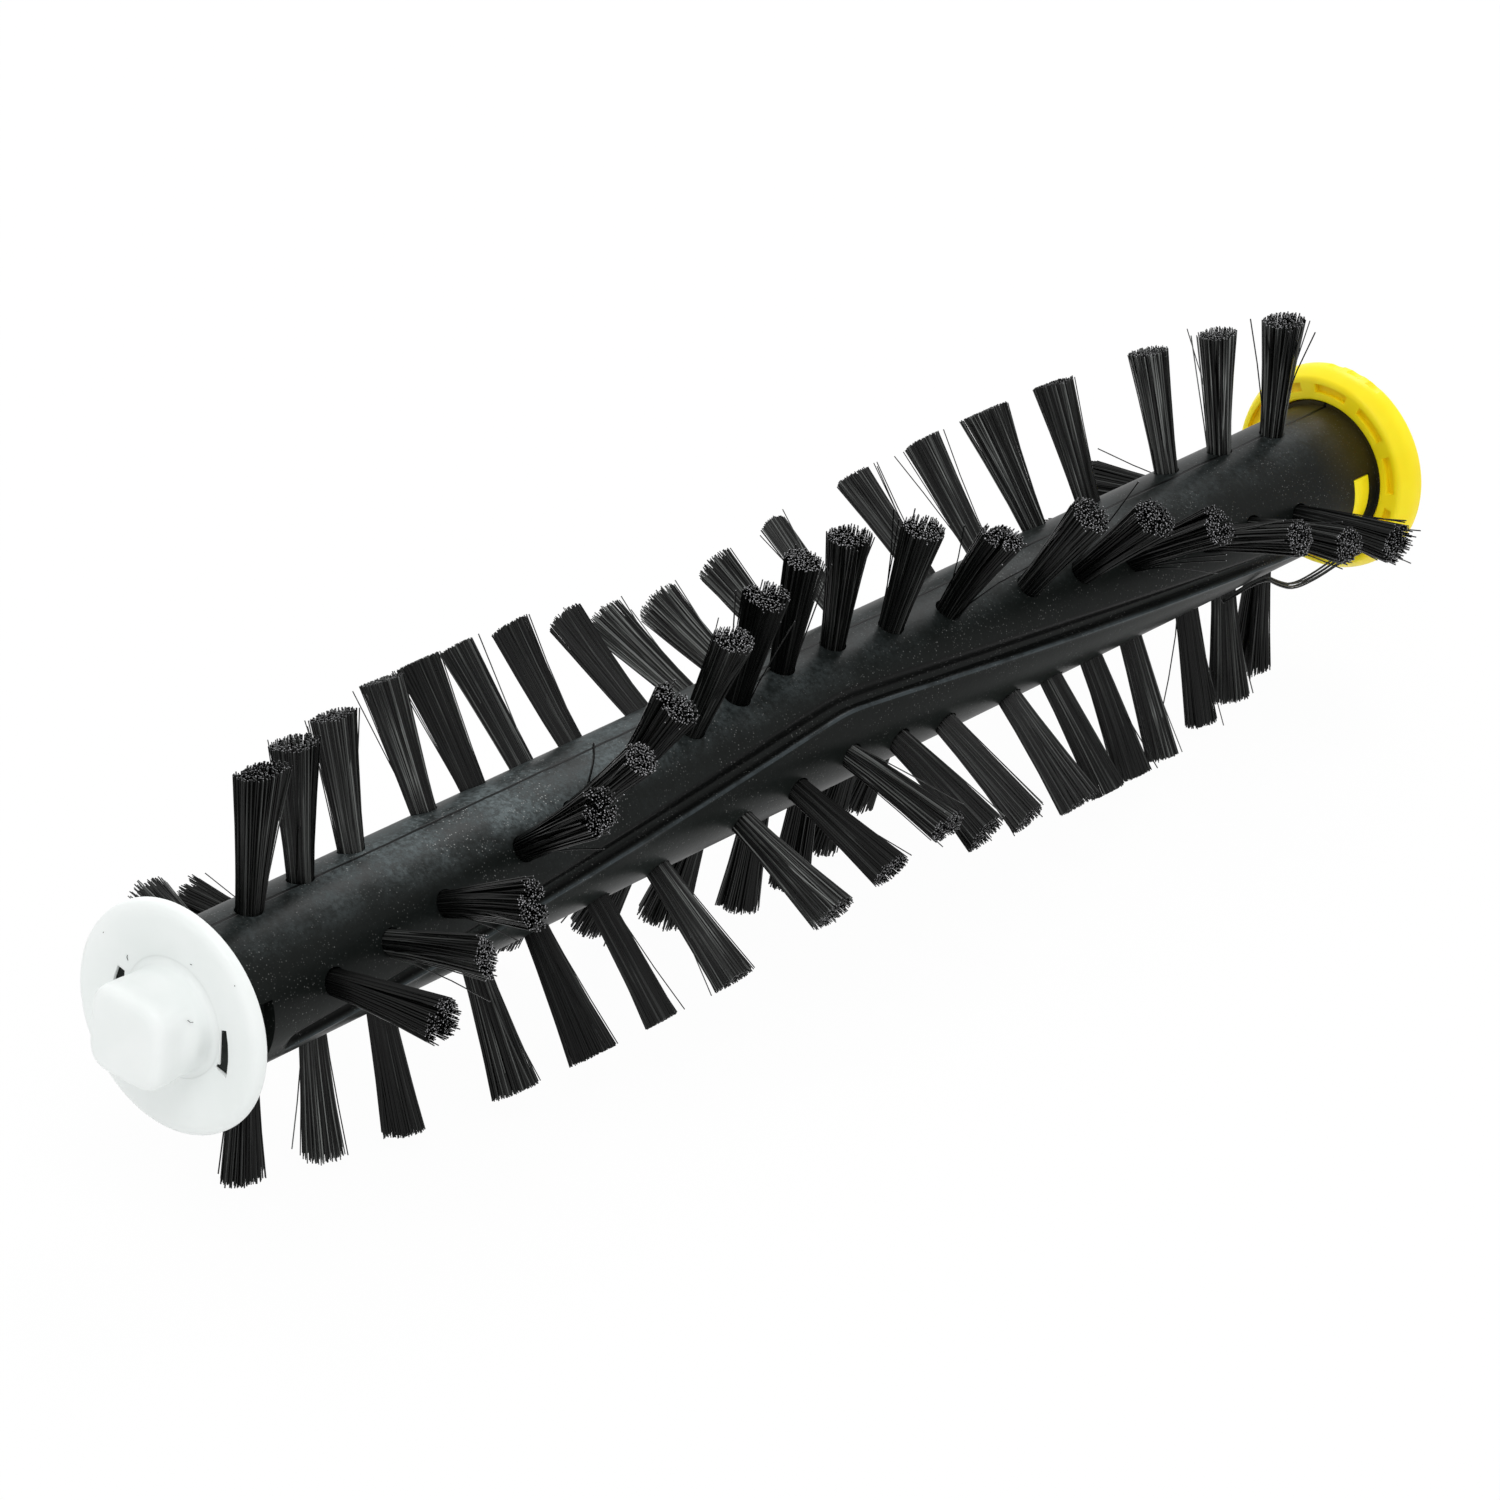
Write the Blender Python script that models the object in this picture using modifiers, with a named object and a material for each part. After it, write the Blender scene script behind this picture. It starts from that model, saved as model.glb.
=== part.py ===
# Bristle roller of a floor cleaner: a moulded core with four chevron rows of nylon tufts,
# a snap-in drive cap at one end and a snap-in cap with a free-turning bearing at the other.
#
# Frame: metres. The roller's axis is X, from the drive boss's end face at X = 0 to the bearing.
# Z points up as the roller lies on the floor, and an angle is measured about X, from Z towards -Y.

import math

import bmesh
import bpy
from mathutils import Matrix

MM = 0.001

# Clearances and cutting aids
FIT_GAP = 0.3 * MM
CUT_OVERRUN = 1.0 * MM
MERGE_DISTANCE = 0.001 * MM

# Core
CORE_RADIUS = 6.9 * MM
CORE_LENGTH = 163.0 * MM
CORE_EDGE = 0.3 * MM
SOCKET_RADIUS = 5.4 * MM
SOCKET_DEPTH = 5.3 * MM
WINDOW_LENGTH = 2.6 * MM
WINDOW_WIDTH = 5.2 * MM
DRIVE_WINDOW_INSET = 1.1 * MM
BEARING_WINDOW_INSET = 2.0 * MM

# Hair-cutting grooves: one between the top and front rows, and one opposite it
GROOVE_ANGLES = (52.0, 232.0)
GROOVE_SWEEP = 60.0
GROOVE_END_REACH = 1.6 * MM
GROOVE_TOOL_RADIUS = 1.0 * MM
GROOVE_DEPTH = 0.75 * MM
GROOVE_BEND = 2.0 * MM

# Tufts. The rows end at a set distance from the core's ends, and the space between two groups is
# given as a number of pitches. The pattern's middle lies a little off the core's.
TUFT_TIP_REACH = 19.0 * MM
TUFT_TIP_RADIUS = 1.85 * MM
TUFT_ROOT_RADIUS = 1.15 * MM
TUFT_ROOT_DEPTH = 3.7 * MM
ROW_END_INSET = 8.8 * MM
GROUP_PITCH_COUNT = 1.46
ROW_SWEEP = 80.0
PATTERN_SHIFT = -1.3 * MM

# Drive end cap
BOSS_RADIUS = 5.0 * MM
BOSS_LENGTH = 5.1 * MM
BOSS_FLAT_OFFSET = 4.05 * MM
BOSS_FLAT_LENGTH = 3.0 * MM
BOSS_WALL = 1.6 * MM
BOSS_EDGE = 0.4 * MM
BOSS_FILLET = 0.8 * MM
FLANGE_RADIUS = 10.5 * MM
DRIVE_FLANGE_THICKNESS = 2.0 * MM
DRIVE_RIM_ROUND = 0.7 * MM
DISH_RADIUS = 7.8 * MM
DISH_DEPTH = 0.4 * MM
SLOT_RADIUS = 6.3 * MM
SLOT_THICKNESS = 1.0 * MM
SLOT_WIDTH = 4.0 * MM

# Spigot, snap tabs and slits, alike on both caps
SPIGOT_WALL = 1.2 * MM
TAB_HEIGHT = 1.5 * MM
TAB_LEAD = 0.9 * MM
SLIT_WIDTH = 0.6 * MM
SLIT_INNER_REACH = 2.4 * MM

# Bearing end cap
RECESS_RADIUS = 7.4 * MM
RECESS_DEPTH = 1.5 * MM
RING_THICKNESS = 4.0 * MM
RING_FACE_RADIUS = 9.7 * MM
RING_CONE_LENGTH = 1.6 * MM
RING_ROUND = 0.5 * MM
RING_BACK_RADIUS = 8.6 * MM
RING_BACK_DEPTH = 1.3 * MM
POCKET_COUNT = 10
POCKET_SWEEP = 25.0
POCKET_INNER_RADIUS = 8.3 * MM
POCKET_OUTER_RADIUS = 9.2 * MM
POCKET_DEPTH = 1.2 * MM
NOTCH_ANGLES = (-7.0, 6.0, 19.0)
NOTCH_TOOL_RADIUS = 1.2 * MM
NOTCH_DEPTH = 0.35 * MM
NOTCH_LENGTH = 1.6 * MM
HUB_RADIUS = 3.6 * MM
HUB_INSET = 0.7 * MM
POST_RADIUS = 3.0 * MM

# Axle pin, and the bearing that turns on it
PIN_RADIUS = 1.5 * MM
PIN_EDGE = 0.3 * MM
PIN_END_REACH = 0.8 * MM
WASHER_RADIUS = 3.3 * MM
WASHER_THICKNESS = 0.5 * MM
BUSH_RADIUS = 2.5 * MM
BUSH_EDGE = 0.2 * MM
HOLDER_WIDTH = 8.0 * MM
HOLDER_LENGTH = 3.8 * MM
HOLDER_ROUND = 0.7 * MM
CLIP_RADIUS = 3.6 * MM
CLIP_THICKNESS = 0.6 * MM
CLIP_MOUTH = 1.8 * MM

# Facets round the turned and curved shapes
CORE_STEPS = 48
CAP_STEPS = 48
SMALL_STEPS = 20
TUFT_STEPS = 10
ARC_STEPS = 3
POCKET_STEPS = 3
GROOVE_STEPS = 24
HOLDER_SEGMENTS = 3
CREASE_DEGREES = 35.0

# Stations along the axis, and sizes that follow from those above
DRIVE_FLANGE_BACK = BOSS_LENGTH + DRIVE_FLANGE_THICKNESS
CORE_START = DRIVE_FLANGE_BACK + FIT_GAP
CORE_END = CORE_START + CORE_LENGTH
PATTERN_MIDDLE = (CORE_START + CORE_END) / 2 + PATTERN_SHIFT
ROW_REACH = CORE_LENGTH / 2 - ROW_END_INSET
GROOVE_HALF_LENGTH = ROW_REACH + GROOVE_END_REACH
SPIGOT_RADIUS = SOCKET_RADIUS - FIT_GAP
SPIGOT_BORE = SPIGOT_RADIUS - SPIGOT_WALL
DRIVE_SPIGOT_END = CORE_START + SOCKET_DEPTH - FIT_GAP
BEARING_SPIGOT_END = CORE_END - SOCKET_DEPTH + FIT_GAP
DRIVE_WINDOW = (CORE_START + DRIVE_WINDOW_INSET, CORE_START + DRIVE_WINDOW_INSET + WINDOW_LENGTH)
BEARING_WINDOW = (CORE_END - BEARING_WINDOW_INSET - WINDOW_LENGTH, CORE_END - BEARING_WINDOW_INSET)
TAB_WIDTH = WINDOW_WIDTH - 2 * FIT_GAP
RING_FLOOR = CORE_END + FIT_GAP
RING_FACE = RING_FLOOR - RECESS_DEPTH
RING_BACK = RING_FACE + RING_THICKNESS
HUB_END = RING_BACK - HUB_INSET
WASHER_START = HUB_END + FIT_GAP
HOLDER_START = WASHER_START + WASHER_THICKNESS + FIT_GAP
CLIP_START = HOLDER_START + HOLDER_LENGTH + FIT_GAP
PIN_END = CLIP_START + CLIP_THICKNESS + PIN_END_REACH
PIN_HOLE = PIN_RADIUS + FIT_GAP
ROOT_BOTTOM = CORE_RADIUS - TUFT_ROOT_DEPTH

# Rows of tufts: the angle of each chevron's point, then the tufts in the middle group and in each
# group outwards from it. All seventy-four tufts would be too many pieces, so only those of two
# rows are pieces of their own, and the other rows are joined to the core.
ROW_ANGLES = {"top": 0.0, "front": 97.0, "bottom": 180.0, "rear": 277.0}
ROW_COUNTS = {"top": (6, 3, 3), "front": (5, 4, 3), "bottom": (6, 3, 3), "rear": (5, 4, 3)}
SEPARATE_ROWS = ("top", "front")


def clear_scene():
    for old in list(bpy.data.objects):
        bpy.data.objects.remove(old, do_unlink=True)


def new_collection(name):
    collection = bpy.data.collections.new(name)
    bpy.context.scene.collection.children.link(collection)
    return collection


def new_material(name, colour, roughness, metallic=0.0):
    material = bpy.data.materials.new(name)
    material.use_nodes = True
    shader = material.node_tree.nodes["Principled BSDF"]
    shader.inputs["Base Color"].default_value = (*colour, 1.0)
    shader.inputs["Roughness"].default_value = roughness
    shader.inputs["Metallic"].default_value = metallic
    return material


def new_object(name, mesh, collection):
    thing = bpy.data.objects.new(name, mesh)
    collection.objects.link(thing)
    return thing


def object_from_bmesh(name, shape, collection):
    mesh = bpy.data.meshes.new(name)
    shape.to_mesh(mesh)
    shape.free()
    return new_object(name, mesh, collection)


# A profile of (radius, height) points, whose outer side runs from top to bottom, swept about
# the object's own Z by a Screw modifier. A ring's profile closes on itself.
def turned(name, profile, steps, collection, ring=False):
    shape = bmesh.new()
    points = [shape.verts.new((radius, 0, height)) for radius, height in profile]
    for start, end in zip(points, points[1:]):
        shape.edges.new((start, end))
    if ring:
        shape.edges.new((points[-1], points[0]))
    thing = object_from_bmesh(name, shape, collection)
    screw = thing.modifiers.new("Turn", "SCREW")
    screw.steps = steps
    screw.render_steps = steps
    screw.use_merge_vertices = True
    screw.merge_threshold = MERGE_DISTANCE
    return thing


def box(name, low, high, collection):
    shape = bmesh.new()
    bmesh.ops.create_cube(shape, size=1)
    bmesh.ops.scale(shape, vec=[b - a for a, b in zip(low, high)], verts=shape.verts)
    bmesh.ops.translate(shape, vec=[(a + b) / 2 for a, b in zip(low, high)], verts=shape.verts)
    return object_from_bmesh(name, shape, collection)


# Points of an arc in a profile, from one angle to another about its centre.
def arc(centre_radius, centre_height, radius, start, end):
    angles = [math.radians(start + (end - start) * step / ARC_STEPS) for step in range(ARC_STEPS + 1)]
    return [(centre_radius + radius * math.cos(a), centre_height + radius * math.sin(a)) for a in angles]


# Turns an object's own Z along the roller, with its origin on the axis at a station.
def lay_along_axis(thing, station=0):
    thing.location = (station, 0, 0)
    thing.rotation_euler = (0, math.radians(90), 0)
    return thing


# Stands an object's own Z out from the axis, at a station and an angle round the roller.
def stand_on_axis(thing, station, degrees):
    thing.location = (station, 0, 0)
    thing.rotation_euler = (math.radians(degrees), 0, 0)
    return thing


def combine(thing, operation, operands):
    boolean = thing.modifiers.new(operation.title(), "BOOLEAN")
    boolean.operation = operation
    boolean.operand_type = "COLLECTION"
    boolean.collection = operands
    boolean.solver = "EXACT"


# Hides the cutters and joined shapes, and keeps them from the finished parts.
def hide_helpers(collection):
    for helper in collection.objects:
        helper.hide_render = True
        helper.display_type = "WIRE"


# Gives a piece its material, applies its modifiers and shades its round sides smooth.
def finish(thing, material):
    bpy.context.view_layer.update()
    evaluated = thing.evaluated_get(bpy.context.evaluated_depsgraph_get())
    mesh = bpy.data.meshes.new_from_object(evaluated)
    mesh.name = thing.name
    thing.modifiers.clear()
    thing.data = mesh
    mesh.materials.clear()
    mesh.materials.append(material)
    mesh.shade_smooth()
    mesh.set_sharp_from_angle(angle=math.radians(CREASE_DEGREES))
    return thing


# Places of a row's tufts along the axis, in pitches from the pattern's middle.
def row_places(middle_count, *outer_counts):
    places = [index - (middle_count - 1) / 2 for index in range(middle_count)]
    reach = places[-1]
    for count in outer_counts:
        reach += GROUP_PITCH_COUNT
        group = [reach + index for index in range(count)]
        places += group + [-place for place in group]
        reach = group[-1]
    return sorted(places)


# Every tuft's row, number, offset from the pattern's middle and angle. The longest rows' last
# tufts stand at the rows' full reach, which sets the pitch.
def tuft_places():
    rows = {row: row_places(*counts) for row, counts in ROW_COUNTS.items()}
    pitch = ROW_REACH / max(places[-1] for places in rows.values())
    for row, places in rows.items():
        for number, place in enumerate(places, start=1):
            offset = pitch * place
            yield row, number, offset, ROW_ANGLES[row] + ROW_SWEEP * abs(offset) / ROW_REACH


def tuft_shape(name, collection):
    profile = [
        (0, TUFT_TIP_REACH),
        (TUFT_TIP_RADIUS, TUFT_TIP_REACH),
        (TUFT_ROOT_RADIUS, CORE_RADIUS),
        (TUFT_ROOT_RADIUS, ROOT_BOTTOM),
        (0, ROOT_BOTTOM),
    ]
    return turned(name, profile, TUFT_STEPS, collection)


def tuft_hole(name, collection):
    hole_radius = TUFT_ROOT_RADIUS + FIT_GAP
    profile = [
        (0, CORE_RADIUS + CUT_OVERRUN),
        (hole_radius, CORE_RADIUS + CUT_OVERRUN),
        (hole_radius, ROOT_BOTTOM - FIT_GAP),
        (0, ROOT_BOTTOM - FIT_GAP),
    ]
    return turned(name, profile, TUFT_STEPS, collection)


def build_tufts(parts, joined, cutters, nylon):
    loose = finish(tuft_shape("tuft", parts), nylon)
    fixed = tuft_shape("joined_tuft", joined)
    hole = tuft_hole("tuft_hole", cutters)
    for row, number, offset, angle in tuft_places():
        name = f"{row}_tuft_{number:02d}"
        if row in SEPARATE_ROWS:
            patterns = ((loose, name, parts), (hole, f"{name}_hole", cutters))
        else:
            patterns = ((fixed, f"{name}_joined", joined),)
        for pattern, copy_name, collection in patterns:
            copy = pattern.copy()
            copy.name = copy_name
            collection.objects.link(copy)
            stand_on_axis(copy, PATTERN_MIDDLE + offset, angle)
    for pattern in (loose, fixed, hole):
        bpy.data.objects.remove(pattern)


# A groove's round-nosed cutter, along a chevron on the core with a softened point.
def groove_cutter(name, point_angle, collection):
    curve = bpy.data.curves.new(name, "CURVE")
    curve.dimensions = "3D"
    curve.bevel_depth = GROOVE_TOOL_RADIUS
    curve.bevel_resolution = 2
    curve.use_fill_caps = True
    spline = curve.splines.new("POLY")
    spline.points.add(GROOVE_STEPS)
    centre_radius = CORE_RADIUS - GROOVE_DEPTH + GROOVE_TOOL_RADIUS
    longest = math.hypot(GROOVE_HALF_LENGTH, GROOVE_BEND) - GROOVE_BEND
    for step, point in enumerate(spline.points):
        offset = GROOVE_HALF_LENGTH * (2 * step / GROOVE_STEPS - 1)
        reach = math.hypot(offset, GROOVE_BEND) - GROOVE_BEND
        angle = math.radians(point_angle + GROOVE_SWEEP * reach / longest)
        height = centre_radius * math.cos(angle)
        point.co = (PATTERN_MIDDLE + offset, -centre_radius * math.sin(angle), height, 1)
    route = new_object(name, curve, collection)
    bpy.context.view_layer.update()
    evaluated = route.evaluated_get(bpy.context.evaluated_depsgraph_get())
    mesh = bpy.data.meshes.new_from_object(evaluated)
    shape = bmesh.new()
    shape.from_mesh(mesh)
    bmesh.ops.remove_doubles(shape, verts=shape.verts, dist=MERGE_DISTANCE)
    bmesh.ops.recalc_face_normals(shape, faces=shape.faces)
    cutter = object_from_bmesh(name, shape, collection)
    cutter.matrix_world = route.matrix_world.copy()
    bpy.data.objects.remove(route)
    bpy.data.meshes.remove(mesh)


def socket_cutter(name, low, high, collection):
    profile = [(0, high), (SOCKET_RADIUS, high), (SOCKET_RADIUS, low), (0, low)]
    lay_along_axis(turned(name, profile, CORE_STEPS, collection))


# Both sides' windows for a cap's snap tabs, cut by one box across the core's wall each.
def window_cutters(name, window, collection):
    for side in (1, -1):
        reach = sorted((side * SPIGOT_BORE, side * (CORE_RADIUS + CUT_OVERRUN)))
        low = (window[0], reach[0], -WINDOW_WIDTH / 2)
        high = (window[1], reach[1], WINDOW_WIDTH / 2)
        box(f"{name}_{side}", low, high, collection)


def build_core(parts, joined, cutters, plastic):
    profile = [
        (0, CORE_END),
        (CORE_RADIUS - CORE_EDGE, CORE_END),
        (CORE_RADIUS, CORE_END - CORE_EDGE),
        (CORE_RADIUS, CORE_START + CORE_EDGE),
        (CORE_RADIUS - CORE_EDGE, CORE_START),
        (0, CORE_START),
    ]
    core = lay_along_axis(turned("roller_core", profile, CORE_STEPS, parts))
    for angle in GROOVE_ANGLES:
        groove_cutter(f"groove_{angle:.0f}", angle, cutters)
    socket_cutter("drive_socket", CORE_START - CUT_OVERRUN, CORE_START + SOCKET_DEPTH, cutters)
    socket_cutter("bearing_socket", CORE_END - SOCKET_DEPTH, CORE_END + CUT_OVERRUN, cutters)
    window_cutters("drive_window", DRIVE_WINDOW, cutters)
    window_cutters("bearing_window", BEARING_WINDOW, cutters)
    combine(core, "UNION", joined)
    combine(core, "DIFFERENCE", cutters)
    finish(core, plastic)


# A snap tab on each side of a spigot. Its ramp faces the way the spigot goes in, and it fills
# the core's window but for the fit gap.
def snap_tabs(name, window, insertion, collection):
    for side in (1, -1):
        reach = sorted((side * (SPIGOT_RADIUS - SPIGOT_WALL / 2), side * (SPIGOT_RADIUS + TAB_HEIGHT)))
        low = (window[0] + FIT_GAP, reach[0], -TAB_WIDTH / 2)
        high = (window[1] - FIT_GAP, reach[1], TAB_WIDTH / 2)
        tab = box(f"{name}_tab_{side}", low, high, collection)
        leading = max if insertion > 0 else min
        front = leading(vertex.co.x for vertex in tab.data.vertices)
        for vertex in tab.data.vertices:
            if vertex.co.x == front and abs(vertex.co.y) > SPIGOT_RADIUS:
                vertex.co.x -= insertion * TAB_LEAD


# Slits beside the tabs, which let each tab's tongue of the spigot's wall bend inwards.
def tab_slits(name, root, end, collection):
    for side in (1, -1):
        for hand in (1, -1):
            reach = sorted((side * SLIT_INNER_REACH, side * SPIGOT_RADIUS))
            width = sorted((hand * TAB_WIDTH / 2, hand * (TAB_WIDTH / 2 + SLIT_WIDTH)))
            run = sorted((root, end))
            low = (run[0], reach[0], width[0])
            high = (run[1], reach[1], width[1])
            box(f"{name}_slit_{side}_{hand}", low, high, collection)


def build_drive_cap(parts, tabs, cutters, plastic):
    rim_radius = FLANGE_RADIUS - DRIVE_RIM_ROUND
    dish_floor = BOSS_LENGTH + DISH_DEPTH
    bore_floor = BOSS_FLAT_LENGTH + BOSS_WALL
    profile = [
        (0, bore_floor),
        (SPIGOT_BORE, bore_floor),
        (SPIGOT_BORE, DRIVE_SPIGOT_END),
        (SPIGOT_RADIUS, DRIVE_SPIGOT_END),
        (SPIGOT_RADIUS, DRIVE_FLANGE_BACK),
        *arc(rim_radius, DRIVE_FLANGE_BACK - DRIVE_RIM_ROUND, DRIVE_RIM_ROUND, 90, 0),
        *arc(rim_radius, BOSS_LENGTH + DRIVE_RIM_ROUND, DRIVE_RIM_ROUND, 0, -90),
        (DISH_RADIUS, dish_floor),
        *arc(BOSS_RADIUS + BOSS_FILLET, dish_floor - BOSS_FILLET, BOSS_FILLET, 90, 180),
        (BOSS_RADIUS, BOSS_EDGE),
        (BOSS_RADIUS - BOSS_EDGE, 0),
        (0, 0),
    ]
    cap = lay_along_axis(turned("drive_end_cap", profile, CAP_STEPS, parts))
    snap_tabs("drive", DRIVE_WINDOW, 1, tabs)
    tab_slits("drive", DRIVE_FLANGE_BACK, DRIVE_SPIGOT_END + CUT_OVERRUN, cutters)
    for side in (1, -1):
        flat = sorted((side * BOSS_FLAT_OFFSET, side * (BOSS_RADIUS + CUT_OVERRUN)))
        wide = BOSS_RADIUS + CUT_OVERRUN
        box(f"flat_y_{side}", (-CUT_OVERRUN, flat[0], -wide), (BOSS_FLAT_LENGTH, flat[1], wide), cutters)
        box(f"flat_z_{side}", (-CUT_OVERRUN, -wide, flat[0]), (BOSS_FLAT_LENGTH, wide, flat[1]), cutters)
        slot = [side * SLOT_RADIUS - SLOT_THICKNESS / 2, side * SLOT_RADIUS + SLOT_THICKNESS / 2]
        low = (BOSS_LENGTH - CUT_OVERRUN, slot[0], -SLOT_WIDTH / 2)
        high = (DRIVE_FLANGE_BACK + CUT_OVERRUN, slot[1], SLOT_WIDTH / 2)
        box(f"slot_{side}", low, high, cutters)
    combine(cap, "UNION", tabs)
    combine(cap, "DIFFERENCE", cutters)
    finish(cap, plastic)


# A pocket's cutter: a square section spun through part of a turn about the roller's axis.
def pocket_cutter(name, middle_angle, collection):
    shape = bmesh.new()
    bmesh.ops.create_grid(shape, x_segments=1, y_segments=1, size=1)
    middle_radius = (POCKET_INNER_RADIUS + POCKET_OUTER_RADIUS) / 2
    half_width = (POCKET_OUTER_RADIUS - POCKET_INNER_RADIUS) / 2
    half_depth = (POCKET_DEPTH + CUT_OVERRUN) / 2
    bmesh.ops.scale(shape, vec=(half_depth, half_width, 1), verts=shape.verts)
    upright = Matrix.Rotation(math.radians(90), 3, "X")
    bmesh.ops.rotate(shape, cent=(0, 0, 0), matrix=upright, verts=shape.verts)
    centre = (RING_FACE + POCKET_DEPTH - half_depth, 0, middle_radius)
    bmesh.ops.translate(shape, vec=centre, verts=shape.verts)
    start = Matrix.Rotation(math.radians(middle_angle - POCKET_SWEEP / 2), 3, "X")
    bmesh.ops.rotate(shape, cent=(0, 0, 0), matrix=start, verts=shape.verts)
    sweep = math.radians(POCKET_SWEEP)
    everything = shape.verts[:] + shape.edges[:] + shape.faces[:]
    bmesh.ops.spin(shape, geom=everything, cent=(0, 0, 0), axis=(1, 0, 0), angle=sweep, steps=POCKET_STEPS)
    bmesh.ops.recalc_face_normals(shape, faces=shape.faces)
    object_from_bmesh(name, shape, collection)


# A shallow round notch in the ring's back edge.
def notch_cutter(name, angle, collection):
    centre_radius = FLANGE_RADIUS - NOTCH_DEPTH + NOTCH_TOOL_RADIUS
    low = RING_BACK - NOTCH_LENGTH
    high = RING_BACK + CUT_OVERRUN
    profile = [(0, high), (NOTCH_TOOL_RADIUS, high), (NOTCH_TOOL_RADIUS, low), (0, low)]
    notch = lay_along_axis(turned(name, profile, SMALL_STEPS, collection))
    turn = math.radians(angle)
    notch.location = (0, -centre_radius * math.sin(turn), centre_radius * math.cos(turn))


def build_bearing_cap(parts, tabs, cutters, plastic):
    back_floor = RING_BACK - RING_BACK_DEPTH
    profile = [
        (PIN_HOLE, HUB_END),
        (HUB_RADIUS, HUB_END),
        (HUB_RADIUS, back_floor),
        (RING_BACK_RADIUS, back_floor),
        (RING_BACK_RADIUS, RING_BACK),
        *arc(FLANGE_RADIUS - RING_ROUND, RING_BACK - RING_ROUND, RING_ROUND, 90, 0),
        (FLANGE_RADIUS, RING_FACE + RING_CONE_LENGTH),
        (RING_FACE_RADIUS, RING_FACE),
        (RECESS_RADIUS, RING_FACE),
        (RECESS_RADIUS, RING_FLOOR),
        (SPIGOT_RADIUS, RING_FLOOR),
        (SPIGOT_RADIUS, BEARING_SPIGOT_END),
        (SPIGOT_BORE, BEARING_SPIGOT_END),
        (SPIGOT_BORE, RING_FLOOR),
        (POST_RADIUS, RING_FLOOR),
        (POST_RADIUS, BEARING_SPIGOT_END),
        (PIN_HOLE, BEARING_SPIGOT_END),
    ]
    cap = lay_along_axis(turned("bearing_end_cap", profile, CAP_STEPS, parts, ring=True))
    snap_tabs("bearing", BEARING_WINDOW, -1, tabs)
    tab_slits("bearing", RING_FLOOR, BEARING_SPIGOT_END - CUT_OVERRUN, cutters)
    for index in range(POCKET_COUNT):
        pocket_cutter(f"pocket_{index}", 360 * index / POCKET_COUNT, cutters)
    for index, angle in enumerate(NOTCH_ANGLES):
        notch_cutter(f"notch_{index}", angle, cutters)
    combine(cap, "UNION", tabs)
    combine(cap, "DIFFERENCE", cutters)
    finish(cap, plastic)


def build_axle_pin(parts, steel):
    length = PIN_END - BEARING_SPIGOT_END
    profile = [
        (0, length),
        (PIN_RADIUS - PIN_EDGE, length),
        (PIN_RADIUS, length - PIN_EDGE),
        (PIN_RADIUS, PIN_EDGE),
        (PIN_RADIUS - PIN_EDGE, 0),
        (0, 0),
    ]
    pin = turned("axle_pin", profile, SMALL_STEPS, parts)
    finish(lay_along_axis(pin, BEARING_SPIGOT_END), steel)


def plain_ring(name, inner_radius, outer_radius, length, edge, collection):
    profile = [
        (inner_radius, length),
        (outer_radius - edge, length),
        (outer_radius, length - edge),
        (outer_radius, edge),
        (outer_radius - edge, 0),
        (inner_radius, 0),
    ]
    return turned(name, profile, SMALL_STEPS, collection, ring=True)


def build_thrust_washer(parts, steel):
    edge = WASHER_THICKNESS / 4
    washer = plain_ring("thrust_washer", PIN_HOLE, WASHER_RADIUS, WASHER_THICKNESS, edge, parts)
    finish(lay_along_axis(washer, WASHER_START), steel)


def build_bearing_bush(parts, bronze):
    bush = plain_ring("bearing_bush", PIN_HOLE, BUSH_RADIUS, HOLDER_LENGTH, BUSH_EDGE, parts)
    finish(lay_along_axis(bush, HOLDER_START), bronze)


# The square holder that sits still in the cleaner's end seat while the roller turns in it.
def build_bearing_holder(parts, cutters, plastic):
    half = HOLDER_WIDTH / 2
    holder = box("bearing_holder", (0, -half, -half), (HOLDER_LENGTH, half, half), parts)
    holder.location = (HOLDER_START, 0, 0)
    bevel = holder.modifiers.new("Round", "BEVEL")
    bevel.width = HOLDER_ROUND
    bevel.segments = HOLDER_SEGMENTS
    bore = BUSH_RADIUS + FIT_GAP
    low = HOLDER_START - CUT_OVERRUN
    high = HOLDER_START + HOLDER_LENGTH + CUT_OVERRUN
    profile = [(0, high), (bore, high), (bore, low), (0, low)]
    lay_along_axis(turned("holder_bore", profile, SMALL_STEPS, cutters))
    combine(holder, "DIFFERENCE", cutters)
    finish(holder, plastic)


def build_retaining_clip(parts, cutters, steel):
    edge = CLIP_THICKNESS / 4
    clip = plain_ring("retaining_clip", PIN_HOLE, CLIP_RADIUS, CLIP_THICKNESS, edge, parts)
    lay_along_axis(clip, CLIP_START)
    half = CLIP_MOUTH / 2
    low = (CLIP_START - CUT_OVERRUN, -half, 0)
    high = (CLIP_START + CLIP_THICKNESS + CUT_OVERRUN, half, CLIP_RADIUS + CUT_OVERRUN)
    box("clip_mouth", low, high, cutters)
    combine(clip, "DIFFERENCE", cutters)
    finish(clip, steel)


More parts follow.
